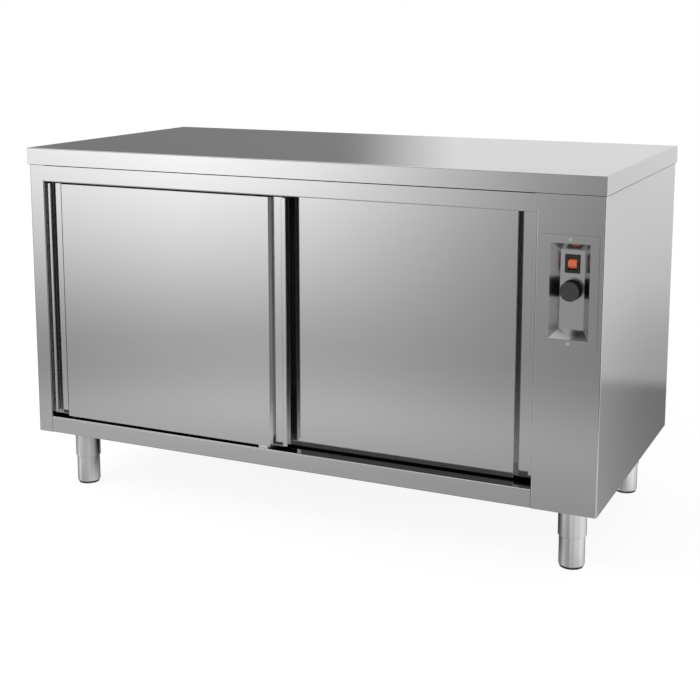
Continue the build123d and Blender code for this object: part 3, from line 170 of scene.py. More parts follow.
# %% Lit floor
STRIP_HEIGHTS = [(-0.325, 0.0), (-0.305, 0.14), (-0.29, 0.26), (-0.27, 0.19), (-0.25, 0.10),
                 (-0.22, 0.06), (-0.16, 0.0)]
STRIP_SIDES = [(-0.62, 0.0), (-0.55, 0.55), (-0.48, 1.0), (-0.40, 1.0), (-0.30, 0.62),
               (-0.05, 0.0)]
FLOOR_HEIGHTS = [(-0.37, 0.95), (-0.345, 1.1), (-0.325, 1.2), (-0.31, 1.0), (-0.30, 0.55),
                 (-0.285, 0.05), (-0.27, 0.0)]
FLOOR_SIDES = [(-1.0, 0.35), (-0.8, 0.33), (-0.62, 0.08), (-0.56, 0.0), (-0.21, 0.0),
               (-0.14, 0.1), (0.1, 0.14), (0.26, 0.45), (0.64, 0.68), (0.95, 0.7)]

strip = hang(STRIP_HEIGHTS, STRIP_SIDES, height_front)
ground = hang(FLOOR_HEIGHTS, FLOOR_SIDES, height, strip)

# %% [markdown]
# ### Lights and cloth in front
# A long soft light stands on the left. It is strongest at the horizon and fades downwards, so a
# door is bright near the worktop and darker below, and a weaker light stands straight ahead. Grey
# cloth hangs behind both. It stops over the right, comes back at the far right and thins out at
# the far left.

# %% Soft lights and grey cloth
LIGHT_HEIGHTS = [(-0.36, 0.07), (-0.30, 0.11), (-0.28, 0.0), (-0.25, 0.17), (-0.22, 0.39),
                 (-0.18, 0.72), (-0.14, 1.0), (-0.10, 1.2), (0.0, 1.25), (0.08, 0.5), (0.12, 0.0)]
LIGHT_SIDES = [(-0.95, 0.0), (-0.84, 0.35), (-0.72, 0.55), (-0.62, 0.83), (-0.53, 1.0),
               (-0.46, 0.85), (-0.40, 0.60), (-0.34, 0.34), (-0.28, 0.14), (-0.20, 0.0),
               (-0.13, 0.0), (0.0, 0.45), (0.1, 0.45), (0.2, 0.0)]
CLOTH_HEIGHTS = [(-0.45, 0.46), (-0.39, 0.43), (-0.36, 0.34), (-0.33, 0.42), (-0.305, 0.42),
                 (-0.28, 0.34), (-0.25, 0.25), (-0.18, 0.255), (-0.08, 0.29), (0.1, 0.1),
                 (0.15, 0.04)]
CLOTH_SIDES = [(-1.0, 0.4), (-0.9, 0.5), (-0.84, 0.9), (-0.6, 1.0), (0.14, 1.0), (0.28, 0.12),
               (0.4, 0.12), (0.46, 0.0), (0.9, 0.0), (0.97, 1.0)]

soft_lights = hang(LIGHT_HEIGHTS, LIGHT_SIDES, height_front, ground)
hung_cloth = hang(CLOTH_HEIGHTS, CLOTH_SIDES, height_front, soft_lights)

# %% [markdown]
# ### Gap, wall and card
# Over the cloth a narrow bright gap is left at the horizon. Above it the studio is dark, which
# keeps the slits round the doors black, and over the right of the camera the dark opens to a pale
# wall. A dim card low on the right only shows in the rounded corner between the front and the
# side, which would else have a dark edge.

# %% Horizon, pale wall and card
GAP_HEIGHTS = [(-0.08, 0.0), (-0.03, 0.35), (0.04, 0.55), (0.08, 0.2), (0.12, 0.04), (0.4, 0.04)]
WALL_FROM, WALL_FULL = (0.1, 0.08), (0.4, 0.2)  # directions, to the right and up
WALL = 0.6
CARD_HEIGHTS = [(-0.285, 0.0), (-0.26, 1.0), (-0.08, 1.0), (-0.03, 0.0)]
CARD_SIDES = [(0.62, 0.0), (0.68, 0.5), (0.80, 0.5), (0.86, 0.0)]

gap = add(studio, "ShaderNodeValToRGB", {0: height.outputs[0]}, by_height(GAP_HEIGHTS))
wall_side = add(studio, "ShaderNodeMapRange",
                {"Value": east, "From Min": WALL_FROM[0], "From Max": WALL_FULL[0]})
wall_height = add(studio, "ShaderNodeMapRange",
                  {"Value": up, "From Min": WALL_FROM[1], "From Max": WALL_FULL[1],
                   "To Max": WALL})
pale_wall = add(studio, "ShaderNodeMath",
                {0: wall_side.outputs[0], 1: wall_height.outputs[0], 2: gap.outputs[0]},
                operation="MULTIPLY_ADD")
card = hang(CARD_HEIGHTS, CARD_SIDES, height, pale_wall.outputs[0])
in_front = add(studio, "ShaderNodeMath", {0: hung_cloth, 1: card})

# %% [markdown]
# ### Above the horizon behind
# The dark screen stands on the left and the white room on the right of it, with a soft edge
# between them that crosses the worktop. Both rise into a pale ceiling.

# %% Screen behind
SCREEN_SIDES = [(-0.9, 0.6), (-0.6, 0.21), (-0.425, 0.235), (-0.41, 0.29), (-0.39, 0.45),
                (-0.37, 0.62), (-0.345, 0.79), (-0.2, 0.79), (0.0, 0.76), (0.9, 1.0)]
CEILING_FROM, CEILING_FULL, CEILING = 0.16, 0.5, 0.6  # two heights and a level

screen = add(studio, "ShaderNodeValToRGB", {0: across.outputs[0]}, by_side(SCREEN_SIDES))
over_screen = add(studio, "ShaderNodeMapRange",
                  {"Value": up, "From Min": CEILING_FROM, "From Max": CEILING_FULL})
behind_high = add(studio, "ShaderNodeMix",
                  {0: over_screen.outputs[0], LEVEL_0: screen.outputs[0], LEVEL_1: CEILING})
print("screen", min(level for _, level in SCREEN_SIDES), "ceiling", CEILING)

# %% [markdown]
# ### Below the horizon behind
# A grey cloth grows darker downwards and ends in a straight hem with darkness under it. That hem
# is the sharp line on the cabinet's right side. Towards the right some light falls on the ground
# under it, which lifts the darkness.

# %% Cloth behind
HEM_HEIGHTS = [(-0.45, 0.30), (-0.31, 0.20), (-0.267, 0.17), (-0.263, 0.39), (-0.245, 0.40),
               (-0.225, 0.45), (-0.19, 0.60), (-0.15, 0.70), (-0.10, 0.78), (0.0, 0.80)]
GLOW_SIDES = [(-0.9, 0.1), (-0.4, 0.1), (0.187, 0.0), (0.205, 0.05), (0.228, 0.2), (0.6, 0.45),
              (0.95, 0.6)]
GLOW_FROM, GLOW_FULL = -0.12, -0.22  # heights where the light on the ground starts and is full
HORIZON_EDGE = 0.01  # half the width of the soft change at the horizon

hem = add(studio, "ShaderNodeValToRGB", {0: height.outputs[0]}, by_height(HEM_HEIGHTS))
lower = add(studio, "ShaderNodeMapRange",
            {"Value": up, "From Min": GLOW_FROM, "From Max": GLOW_FULL})
glow_side = add(studio, "ShaderNodeValToRGB", {0: across.outputs[0]}, by_side(GLOW_SIDES))
low_glow = add(studio, "ShaderNodeMath",
               {0: lower.outputs[0], 1: glow_side.outputs[0]}, operation="MULTIPLY")
behind_low = add(studio, "ShaderNodeMath", {0: hem.outputs[0], 1: low_glow.outputs[0]})
above = add(studio, "ShaderNodeMapRange",
            {"Value": up, "From Min": -HORIZON_EDGE, "From Max": HORIZON_EDGE})
behind = add(studio, "ShaderNodeMix",
             {0: above.outputs[0], LEVEL_0: behind_low.outputs[0],
              LEVEL_1: behind_high.outputs[0]})
print("the hem hangs between", HEM_HEIGHTS[2][0], "and", HEM_HEIGHTS[3][0])

# %% [markdown]
# ### One room for the steel, one for everything else
# The front and the back of the room meet softly at the sides, and straight overhead all is
# white. Metal mirrors the cloths and lights. The camera sees pure white in their place, and so
# does whatever is seen through something clear. Light that only falls on a dull surface comes
# from all over the room, so it is the room's plain average. A Light Path node tells these rays
# apart, so that one world serves them all.

# %% World light
ROOM, WHITE = 0.75, 1.0
MEETING = 0.1  # half the width of the soft change at the sides
OVERHEAD_FROM, OVERHEAD_FULL = 0.45, 0.8  # heights where the white overhead starts and is full

to_front = add(studio, "ShaderNodeMapRange",
               {"Value": north, "From Min": MEETING, "From Max": -MEETING},
               interpolation_type="SMOOTHSTEP")
round_about = add(studio, "ShaderNodeMix",
                  {0: to_front.outputs[0], LEVEL_0: behind.outputs[0],
                   LEVEL_1: in_front.outputs[0]})
overhead = add(studio, "ShaderNodeMapRange",
               {"Value": up, "From Min": OVERHEAD_FROM, "From Max": OVERHEAD_FULL},
               interpolation_type="SMOOTHSTEP")
mirrored = add(studio, "ShaderNodeMix",
               {0: overhead.outputs[0], LEVEL_0: round_about.outputs[0], LEVEL_1: WHITE})
rays = add(studio, "ShaderNodeLightPath")
plain = add(studio, "ShaderNodeMath",
            {0: rays.outputs["Is Camera Ray"], 1: rays.outputs["Is Transmission Ray"]})
dull = add(studio, "ShaderNodeMix", {0: plain.outputs[0], LEVEL_0: ROOM, LEVEL_1: WHITE})
strength = add(studio, "ShaderNodeMix",
               {0: rays.outputs["Is Glossy Ray"], LEVEL_0: dull.outputs[0],
                LEVEL_1: mirrored.outputs[0]})
white = add(studio, "ShaderNodeBackground",
            {"Color": linear("FFFFFF"), "Strength": strength.outputs[0]})
add(studio, "ShaderNodeOutputWorld", {"Surface": white.outputs[0]})
print("studio nodes", len(studio.nodes))

# %% [markdown]
# ## Lamp
# One large soft lamp above the front left gives dull pieces such as the knob a light and a
# shaded side. A small lamp could do that too, but its shadows would be hard. Steel already
# mirrors the long light of the studio, so the lamp is kept out of its reflections.

# %% Lamp
LAMP_POWER = 60  # watts
LAMP_SIZE = (2.4, 1.6)  # metres
LAMP_PLACE = (-1.9, -2.6, 2.6)
LAMP_TILT, LAMP_TURN = 52, -36  # degrees

lamp_data = bpy.data.lights.new("soft_lamp", "AREA")
lamp_data.shape = "RECTANGLE"
lamp_data.size, lamp_data.size_y = LAMP_SIZE
lamp_data.energy = LAMP_POWER
lamp = bpy.data.objects.new("soft_lamp", lamp_data)
lamp.location = LAMP_PLACE
lamp.rotation_euler = (math.radians(LAMP_TILT), 0, math.radians(LAMP_TURN))
lamp.visible_glossy = False
bpy.context.scene.collection.objects.link(lamp)
print("lamp", lamp_data.energy, "W over", LAMP_SIZE[0], "by", LAMP_SIZE[1], "m")

# %% [markdown]
# ## Floor
# The floor is a sheet of white paper. It carries the cabinet's faint shadow for the eye, glows
# a little so that the rest of it melts into the white room, and lets mirrored rays through to
# the cloths, which hang lower than the floor would allow. Stronger lamps could whiten it as well,
# but they would bleach the cabinet with it.

# %% Floor sheet
FLOOR_SIZE = 60  # metres, so that its far edge melts into the horizon

bpy.ops.object.select_all(action="DESELECT")
bpy.ops.mesh.primitive_plane_add(size=FLOOR_SIZE)
floor = bpy.context.object
floor.name = "floor"
paper = bpy.data.materials.new("uncoated_white_paper")
paper.use_nodes = True
sheet = paper.node_tree
sheet.nodes.clear()
print("floor", floor.dimensions[0], "m square")

# %% [markdown]
# ### Shade on the paper
# Mirrored rays that pass through the paper would find no shade, so the shade under the cabinet and
# a thin contact shadow round each foot are painted into the colour that the paper lets through. The
# cabinet stands with its middle at the origin, so a point's distance from the middle, along X and
# along Y, serves all four corners at once. One foot's place on that folded sheet then stands for
# all four feet.

# %% Shade under the cabinet
MM = 0.001
SHADE_X, SHADE_Y = (0.45, 0.75), (0.05, 0.6)  # where it starts to fade and where it ends
RING = 6 * MM  # width of the painted contact shadow round a foot
DARKEST = 0.02  # share of the light that is left there

paper_place = add(sheet, "ShaderNodeTexCoord").outputs["Object"]
spot = add(sheet, "ShaderNodeSeparateXYZ", {0: paper_place})
out_x = add(sheet, "ShaderNodeMath", {0: spot.outputs[0]}, operation="ABSOLUTE")
out_y = add(sheet, "ShaderNodeMath", {0: spot.outputs[1]}, operation="ABSOLUTE")
under_x = add(sheet, "ShaderNodeMapRange",
              {"Value": out_x.outputs[0], "From Min": SHADE_X[0], "From Max": SHADE_X[1],
               "To Min": 1.0, "To Max": 0.0})
under_y = add(sheet, "ShaderNodeMapRange",
              {"Value": out_y.outputs[0], "From Min": SHADE_Y[0], "From Max": SHADE_Y[1],
               "To Min": 1.0, "To Max": 0.0})
shaded = add(sheet, "ShaderNodeMath",
             {0: under_x.outputs[0], 1: under_y.outputs[0]}, operation="MULTIPLY")
corner = add(sheet, "ShaderNodeCombineXYZ", {0: out_x.outputs[0], 1: out_y.outputs[0]})
foot_low, foot_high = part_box("front_right_foot")
foot_radius = (foot_high[0] - foot_low[0]) / 2
foot_middle = [(foot_low[0] + foot_high[0]) / 2, -(foot_low[1] + foot_high[1]) / 2, 0]
from_foot = add(sheet, "ShaderNodeVectorMath", {0: corner.outputs[0], 1: foot_middle},
                operation="DISTANCE")
contact = add(sheet, "ShaderNodeMapRange",
              {"Value": from_foot.outputs["Value"], "From Min": foot_radius,
               "From Max": foot_radius + RING, "To Min": 1.0, "To Max": 0.0})
# Painted shade: under the cabinet and round the feet, the paper lets less light through.
darker = add(sheet, "ShaderNodeMath", {0: shaded.outputs[0], 1: contact.outputs[0]},
             operation="MAXIMUM")
lit = add(sheet, "ShaderNodeMapRange",
          {"Value": darker.outputs[0], "To Min": 1.0, "To Max": DARKEST})
print("foot at", [round(c, 3) for c in foot_middle[:2]], "radius", round(foot_radius, 3))

# %% [markdown]
# ### What each ray finds
# A Light Path node tells what asks for the paper's colour. The camera gets mostly glow and a little
# true shadow, mirrored rays get the see-through sheet with its painted shade, and all other light
# finds plain matt paper.

# %% Paper
GLOW, GLOW_SHARE = 1.06, 0.85  # level of the glow and its share of what the camera sees

look = add(sheet, "ShaderNodeLightPath")
matt = add(sheet, "ShaderNodeBsdfDiffuse", {"Color": linear("F4F4F4")})
glow = add(sheet, "ShaderNodeEmission", {"Color": linear("FFFFFF"), "Strength": GLOW})
clear = add(sheet, "ShaderNodeBsdfTransparent", {"Color": lit.outputs[0]})
seen = add(sheet, "ShaderNodeMixShader", {0: GLOW_SHARE, 1: matt.outputs[0], 2: glow.outputs[0]})
to_eye = add(sheet, "ShaderNodeMixShader",
             {0: look.outputs["Is Camera Ray"], 1: matt.outputs[0], 2: seen.outputs[0]})
to_steel = add(sheet, "ShaderNodeMixShader",
               {0: look.outputs["Is Glossy Ray"], 1: to_eye.outputs[0], 2: clear.outputs[0]})
add(sheet, "ShaderNodeOutputMaterial", {"Surface": to_steel.outputs[0]})
floor.data.materials.append(paper)
print("paper nodes", len(sheet.nodes))

# %% [markdown]
# ## Pieces and their stock
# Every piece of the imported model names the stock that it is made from. The list is kept before
# the first finish goes on, because a piece forgets its stock when its material changes. Two
# helpers follow: one starts an empty material that knows its place on the piece in metres, and
# the other puts a finished material on whole pieces.

# %% Pieces by stock
stock = {}
for name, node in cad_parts.items():
    kind = node.material_slots[0].material.name.split(".")[0]
    stock.setdefault(kind, []).append(name)


def blank(name):
    """An empty material, its node tree and the place on the piece in metres."""
    finish = bpy.data.materials.new(name)
    finish.use_nodes = True
    finish.node_tree.nodes.clear()
    place = add(finish.node_tree, "ShaderNodeTexCoord").outputs["Object"]
    return finish, finish.node_tree, place


def dress(finish, pieces):
    """Puts one finish on whole pieces of the cabinet, given by name."""
    for name in pieces:
        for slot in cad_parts[name].material_slots:
            slot.material = finish
    print(finish.name, "on", len(pieces), "pieces")


for kind, names in sorted(stock.items()):
    print(kind, len(names))

# %% [markdown]
# ## Brushed stainless sheet
# Kitchen steel is chromium-nickel sheet brushed with a fine abrasive belt along its length. The
# belt leaves scratches about a tenth of a millimetre wide and a hand long. They blur what the
# sheet mirrors and give it a soft grain that runs one way. The scratches are far finer than a
# picture of the whole cabinet can show, so the grain is drawn about 2 mm wide and 200 mm long,
# and so faint that it only breaks up the gloss.
#
# A bump could cut the scratches into the surface, and an anisotropic gloss could smear what the
# sheet mirrors across the grain. On flat sheets in so soft a room neither shows much, and fine
# bumps flicker. So noise drawn out along one axis moves the tone and the roughness a little. It
# follows Object coordinates, so it stays on the sheet when a door slides.
#
# Where the worktop's folded edge sits on the body, its shade falls on the seam all the way round.
# That shade is painted into the sheet's colour as a thin dark band, a little below the seam's own
# height, because the edge stands proud and hides the top of the band from above.

# %% Brushed sheet
STEEL, STEEL_SCRATCH = "D8D8D8", "D4D4D4"
SHEEN, SHEEN_DRIFT = 0.09, 0.015
GRAIN, STROKE = 2 * MM, 200 * MM
FAINT, STRONG = 0.3, 0.7  # the noise hardly ever leaves this range
SEAM_SHADOW_WIDTH, SEAM_SHADE = 0.9 * MM, "303030"
body_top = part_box("right_side_panel")[1][2]


def scratches(tree, place, reach):
    """Noise drawn out into scratches with the given reach in metres along X, Y and Z."""
    drawn = add(tree, "ShaderNodeMapping", {"Vector": place, "Scale": [1 / r for r in reach]})
    noise = add(tree, "ShaderNodeTexNoise",
                {"Vector": drawn.outputs[0], "Scale": 1.0, "Detail": 3.0, "Roughness": 0.6})
    return noise.outputs[0]


def brushed_sheet(name, reach, seam=SEAM_SHADOW_WIDTH):
    """Brushed steel, scratched along the longest reach, with painted seam shade under the worktop.
    """
    finish, tree, place = blank(name)
    grain = scratches(tree, place, reach)
    tone = add(tree, "ShaderNodeMix",
               {0: grain, TINT_0: linear(STEEL_SCRATCH), TINT_1: linear(STEEL)},
               data_type="RGBA")
    # Painted shade: a thin dark band in the sheet's colour just under the worktop's edge.
    rise = add(tree, "ShaderNodeSeparateXYZ", {0: place}).outputs["Z"]
    in_seam_shadow = add(tree, "ShaderNodeMath", {0: rise, 1: body_top - seam / 2, 2: seam},
                  operation="COMPARE")
    shaded_tone = add(tree, "ShaderNodeMix",
                      {0: in_seam_shadow.outputs[0], TINT_0: tone.outputs[TINTED],
                       TINT_1: linear(SEAM_SHADE)}, data_type="RGBA")
    blur = add(tree, "ShaderNodeMapRange",
               {"Value": grain, "From Min": FAINT, "From Max": STRONG,
                "To Min": SHEEN - SHEEN_DRIFT, "To Max": SHEEN + SHEEN_DRIFT})
    steel = add(tree, "ShaderNodeBsdfPrincipled",
                {"Base Color": shaded_tone.outputs[TINTED], "Metallic": 1.0,
                 "Roughness": blur.outputs[0]})
    add(tree, "ShaderNodeOutputMaterial", {"Surface": steel.outputs[0]})
    return finish


lengthwise = brushed_sheet("brushed_stainless_lengthwise", (STROKE, GRAIN, GRAIN))
dress(lengthwise, stock["stainless_steel"])
print("grain drawn", GRAIN / MM, "mm wide and", STROKE / MM, "mm long")

# %% [markdown]
# ### Sheets brushed the other ways
# A sheet is cut so that its grain runs along its longest side. The side panels are brushed from
# front to back, and the grips stand upright, so each gets the same finish with the scratches
# turned. The side panels are seen along their length, which thins the painted seam shade, so theirs
# is drawn twice as wide.

# %% Turned grain
crosswise = brushed_sheet("brushed_stainless_crosswise", (GRAIN, STROKE, GRAIN), 2 * SEAM_SHADOW_WIDTH)
dress(crosswise, ["left_side_panel", "right_side_panel"])
upright = brushed_sheet("brushed_stainless_upright", (GRAIN, GRAIN, STROKE))
dress(upright, [name for name in stock["stainless_steel"] if name.endswith("_grip")])

# %% [markdown]
# ### Mill finish inside
# Inside, nobody pays for brushing. The chamber is lined with steel as it comes from the rolling
# mill: dull grey, faintly cloudy, with a soft blurred shine. One even roughness would look like
# grey paint, so a cloudy noise about 12 mm across moves the tone and the roughness. No scratches
# are drawn.

# %% Mill finish
CLOUD = 12 * MM

mill, tree, place = blank("cold_rolled_mill_finish_stainless")
cloud = add(tree, "ShaderNodeTexNoise",
            {"Vector": place, "Scale": 1 / CLOUD, "Detail": 4.0, "Roughness": 0.5})
tone = add(tree, "ShaderNodeMix",
           {0: cloud.outputs[0], TINT_0: linear("BDBEBF"), TINT_1: linear("C8C9C9")},
           data_type="RGBA")
blur = add(tree, "ShaderNodeMapRange",
           {"Value": cloud.outputs[0], "To Min": 0.26, "To Max": 0.38})
steel = add(tree, "ShaderNodeBsdfPrincipled",
            {"Base Color": tone.outputs[TINTED], "Metallic": 1.0, "Roughness": blur.outputs[0]})
add(tree, "ShaderNodeOutputMaterial", {"Surface": steel.outputs[0]})
LINING = ("chamber_floor", "chamber_ceiling", "chamber_left_wall", "chamber_back_wall",
          "chamber_partition", "base_pan", "middle_shelf", "shelf_uprights", "shelf_clips",
          "heater_box", "left_door_back", "right_door_back")
dress(mill, LINING)

# %% [markdown]
# ### Drawn control dish
# The control plate is pressed into a dish. Its rim keeps the brushing, but the metal that
# flowed down into the dish is stretched, and its scratches open into a duller, slightly darker
# satin. Rim and dish could be two materials on two sets of faces, but the border between them
# would be hard. The depth of a point along Y fades one into the other, so one material holds both.

# %% Control plate
RIM_DEPTH = 1.5 * MM  # where the bend below the rim ends
DISH, DISH_ROUGHNESS = "CACACA", 0.22

plate_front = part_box("control_plate")[0][1]
drawn_dish, tree, place = blank("deep_drawn_brushed_stainless")
grain = scratches(tree, place, (STROKE, GRAIN, GRAIN))
depth = add(tree, "ShaderNodeSeparateXYZ", {0: place}).outputs["Y"]
stretched = add(tree, "ShaderNodeMapRange",
                {"Value": depth, "From Min": plate_front + RIM_DEPTH / 3,
                 "From Max": plate_front + RIM_DEPTH})
rim = add(tree, "ShaderNodeMix",
          {0: grain, TINT_0: linear(STEEL_SCRATCH), TINT_1: linear(STEEL)}, data_type="RGBA")
dish = add(tree, "ShaderNodeMix",
           {0: stretched.outputs[0], TINT_0: rim.outputs[TINTED], TINT_1: linear(DISH)},
           data_type="RGBA")
blur = add(tree, "ShaderNodeMapRange",
           {"Value": stretched.outputs[0], "To Min": SHEEN + SHEEN_DRIFT,
            "To Max": DISH_ROUGHNESS})
steel = add(tree, "ShaderNodeBsdfPrincipled",
            {"Base Color": dish.outputs[TINTED], "Metallic": 1.0, "Roughness": blur.outputs[0]})
add(tree, "ShaderNodeOutputMaterial", {"Surface": steel.outputs[0]})
dress(drawn_dish, ["control_plate"])

# %% [markdown]
# ### Polished tube
# The legs are drawn tube, turned against a polishing belt. The belt leaves fine rings, and the
# gloss between them is sharper than on the sheets, which gives a leg its crisp dark and bright
# stripes. The rings could be painted on an unwrapped tube, but noise that changes only along Z
# runs round every tube by itself. They are drawn 1 mm apart.

# %% Legs and feet
BELT_RING = 1 * MM

polished, tree, place = blank("belt_polished_stainless_tube")
rings = scratches(tree, place, (STROKE, STROKE, BELT_RING))
tone = add(tree, "ShaderNodeMix",
           {0: rings, TINT_0: linear("E6E6E6"), TINT_1: linear("F0F0F0")}, data_type="RGBA")
blur = add(tree, "ShaderNodeMapRange", {"Value": rings, "To Min": 0.05, "To Max": 0.09})
steel = add(tree, "ShaderNodeBsdfPrincipled",
            {"Base Color": tone.outputs[TINTED], "Metallic": 1.0, "Roughness": blur.outputs[0]})
add(tree, "ShaderNodeOutputMaterial", {"Surface": steel.outputs[0]})
dress(polished, [name for name in stock["stainless_steel"] if name.endswith(("_leg", "_foot"))])

# %% [markdown]
# ## Zinc
# Screws, bolts and the thermostat's spindle are steel with a bright coat of zinc. The bath
# leaves a thin bluish film that shifts a little over each part. Blender can work out such a film
# from its thickness, but on parts so small a drift of colour is enough: a noise 4 mm across,
# between neutral and cold grey.

# %% Bright zinc
FILM_DRIFT = 4 * MM

zinc, tree, place = blank("bright_zinc_plated_steel")
film = add(tree, "ShaderNodeTexNoise", {"Vector": place, "Scale": 1 / FILM_DRIFT, "Detail": 2.0})
tone = add(tree, "ShaderNodeMix",
           {0: film.outputs[0], TINT_0: linear("D6D6D4"), TINT_1: linear("C2C9D2")},
           data_type="RGBA")
blur = add(tree, "ShaderNodeMapRange", {"Value": film.outputs[0], "To Min": 0.18, "To Max": 0.3})
coat = add(tree, "ShaderNodeBsdfPrincipled",
           {"Base Color": tone.outputs[TINTED], "Metallic": 1.0, "Roughness": blur.outputs[0]})
add(tree, "ShaderNodeOutputMaterial", {"Surface": coat.outputs[0]})
dress(zinc, stock["zinc_steel"])

# %% [markdown]
# ### Black zinc
# The hangers work in the slit over the doors, where bright metal would catch the eye. Their
# zinc is turned black in a second bath, which leaves a dark, half-matt skin that mirrors very
# little. A flat black would look like a hole, so a noise 3 mm across gives it the slight
# cloudiness of a bath finish.

# %% Hangers
BATH_CLOUD = 3 * MM

black_zinc, tree, place = blank("black_passivated_zinc")
film = add(tree, "ShaderNodeTexNoise", {"Vector": place, "Scale": 1 / BATH_CLOUD, "Detail": 3.0})
tone = add(tree, "ShaderNodeMix",
           {0: film.outputs[0], TINT_0: linear("1A1B1C"), TINT_1: linear("2B2C2E")},
           data_type="RGBA")
coat = add(tree, "ShaderNodeBsdfPrincipled",
           {"Base Color": tone.outputs[TINTED], "Metallic": 1.0, "Roughness": 0.42})
add(tree, "ShaderNodeOutputMaterial", {"Surface": coat.outputs[0]})
dress(black_zinc, ["left_door_hangers", "right_door_hangers"])

# %% [markdown]
# ### Galvanised sheet
# The ribs under the worktop are folded from hot-dip galvanised sheet. Its zinc freezes into
# flat crystals about 9 mm across, each of which shines a little differently. A noise would blur
# one into the next. Voronoi cells have straight borders and one random value each, which is just
# that pattern.

# %% Ribs
CRYSTAL = 9 * MM

galvanised, tree, place = blank("hot_dip_galvanised_sheet")
crystals = add(tree, "ShaderNodeTexVoronoi", {"Vector": place, "Scale": 1 / CRYSTAL})
shine = add(tree, "ShaderNodeSeparateColor", {0: crystals.outputs["Color"]})
tone = add(tree, "ShaderNodeMix",
           {0: shine.outputs[0], TINT_0: linear("A2A8AD"), TINT_1: linear("C3C7CA")},
           data_type="RGBA")
blur = add(tree, "ShaderNodeMapRange", {"Value": shine.outputs[1], "To Min": 0.3, "To Max": 0.5})
coat = add(tree, "ShaderNodeBsdfPrincipled",
           {"Base Color": tone.outputs[TINTED], "Metallic": 1.0, "Roughness": blur.outputs[0]})
add(tree, "ShaderNodeOutputMaterial", {"Surface": coat.outputs[0]})
dress(galvanised, ["worktop_stiffeners"])

# %% [markdown]
# ### Turned screws
# The two screws that hold the control plate are in plain view, so they are stainless and
# turned. Facing the head leaves fine rings and a bright, clean gloss. The rings could be cut into
# the mesh, but they are much too fine for that, so a wave texture draws them 0.5 mm apart. The
# screws stand one above the other, and folding the space at the middle between them brings both
# heads to one place, so one set of rings serves both.

# %% Plate screws
TURNED_RING = 0.5 * MM
WAVE = math.tau / 20  # a wave texture at scale 1 repeats after this length

low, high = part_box("plate_screws")
head_radius = (high[0] - low[0]) / 2
middle = [(low[i] + high[i]) / 2 for i in range(3)]
to_head = [0, 0, (high[2] - low[2]) / 2 - head_radius]
turned_steel, tree, place = blank("turned_stainless_screw")
centred = add(tree, "ShaderNodeVectorMath", {0: place, 1: middle}, operation="SUBTRACT")
folded = add(tree, "ShaderNodeVectorMath", {0: centred.outputs[0]}, operation="ABSOLUTE")
from_head = add(tree, "ShaderNodeVectorMath", {0: folded.outputs[0], 1: to_head},
                operation="SUBTRACT")
facing = add(tree, "ShaderNodeTexWave",
             {"Vector": from_head.outputs[0], "Scale": WAVE / TURNED_RING},
             wave_type="RINGS", rings_direction="Y")
blur = add(tree, "ShaderNodeMapRange", {"Value": facing.outputs[1], "To Min": 0.15, "To Max": 0.22})
tone = add(tree, "ShaderNodeMix",
           {0: facing.outputs[1], TINT_0: linear("E8E8E6"), TINT_1: linear("F2F2F0")},
           data_type="RGBA")
steel = add(tree, "ShaderNodeBsdfPrincipled",
            {"Base Color": tone.outputs[TINTED], "Metallic": 1.0, "Roughness": blur.outputs[0]})
add(tree, "ShaderNodeOutputMaterial", {"Surface": steel.outputs[0]})
dress(turned_steel, ["plate_screws"])
print("heads", round(2 * head_radius / MM, 1), "mm wide and",
      round(2 * to_head[2] / MM, 1), "mm apart")

# %% [markdown]
# ## Track
# The doors hang in an extruded aluminium track, anodised black. The die draws long straight
# lines along the profile, and the anodised skin scatters light softly. The lines could be a bump,
# but in the dark above the doors a change of tone and gloss is all that shows of them. They are
# drawn 0.6 mm apart and half a metre long.

# %% Door track
DIE_LINE, LINE_LENGTH = 0.6 * MM, 500 * MM

anodised, tree, place = blank("black_anodised_extrusion")
lines = scratches(tree, place, (LINE_LENGTH, DIE_LINE, DIE_LINE))
tone = add(tree, "ShaderNodeMix",
           {0: lines, TINT_0: linear("1C1D1E"), TINT_1: linear("2C2D2F")}, data_type="RGBA")
blur = add(tree, "ShaderNodeMapRange", {"Value": lines, "To Min": 0.34, "To Max": 0.46})
skin = add(tree, "ShaderNodeBsdfPrincipled",
           {"Base Color": tone.outputs[TINTED], "Metallic": 1.0, "Roughness": blur.outputs[0]})
add(tree, "ShaderNodeOutputMaterial", {"Surface": skin.outputs[0]})
dress(anodised, stock["track_aluminium"])

# %% [markdown]
# ## Rubber and nylon
# The stops at the ends of the track are moulded rubber: nearly black, with a matt skin and a
# fine tooth from the mould. Colour alone would leave them flat, so a small bump gives that tooth,
# drawn 0.5 mm across.

# %% Stop rubber
TOOTH, TOOTH_DEPTH = 0.5 * MM, 0.1 * MM

rubber, tree, place = blank("moulded_black_rubber")
tooth = add(tree, "ShaderNodeTexNoise", {"Vector": place, "Scale": 1 / TOOTH, "Detail": 2.0})
tone = add(tree, "ShaderNodeMix",
           {0: tooth.outputs[0], TINT_0: linear("161616"), TINT_1: linear("222222")},
           data_type="RGBA")
relief = add(tree, "ShaderNodeBump",
             {"Strength": 0.3, "Distance": TOOTH_DEPTH, "Height": tooth.outputs[0]})
skin = add(tree, "ShaderNodeBsdfPrincipled",
           {"Base Color": tone.outputs[TINTED], "Roughness": 0.75, "Normal": relief.outputs[0]})
add(tree, "ShaderNodeOutputMaterial", {"Surface": skin.outputs[0]})
dress(rubber, stock["stop_rubber"])

# %% [markdown]
# The floor guide, the rollers and the cable gland are all moulded nylon, which has a soft waxy
# gloss and is never quite even in colour. Some light also sinks into it, but on pieces so small
# a pale colour stands in for that. One function mixes two close colours by a slow noise as wide
# as the flow of the plastic, and adds the faint drag marks of the mould.

# %% Nylon
NYLON_IOR = 1.53
FLOW, DRAG, DRAG_DRIFT = 6 * MM, 1 * MM, 0.06


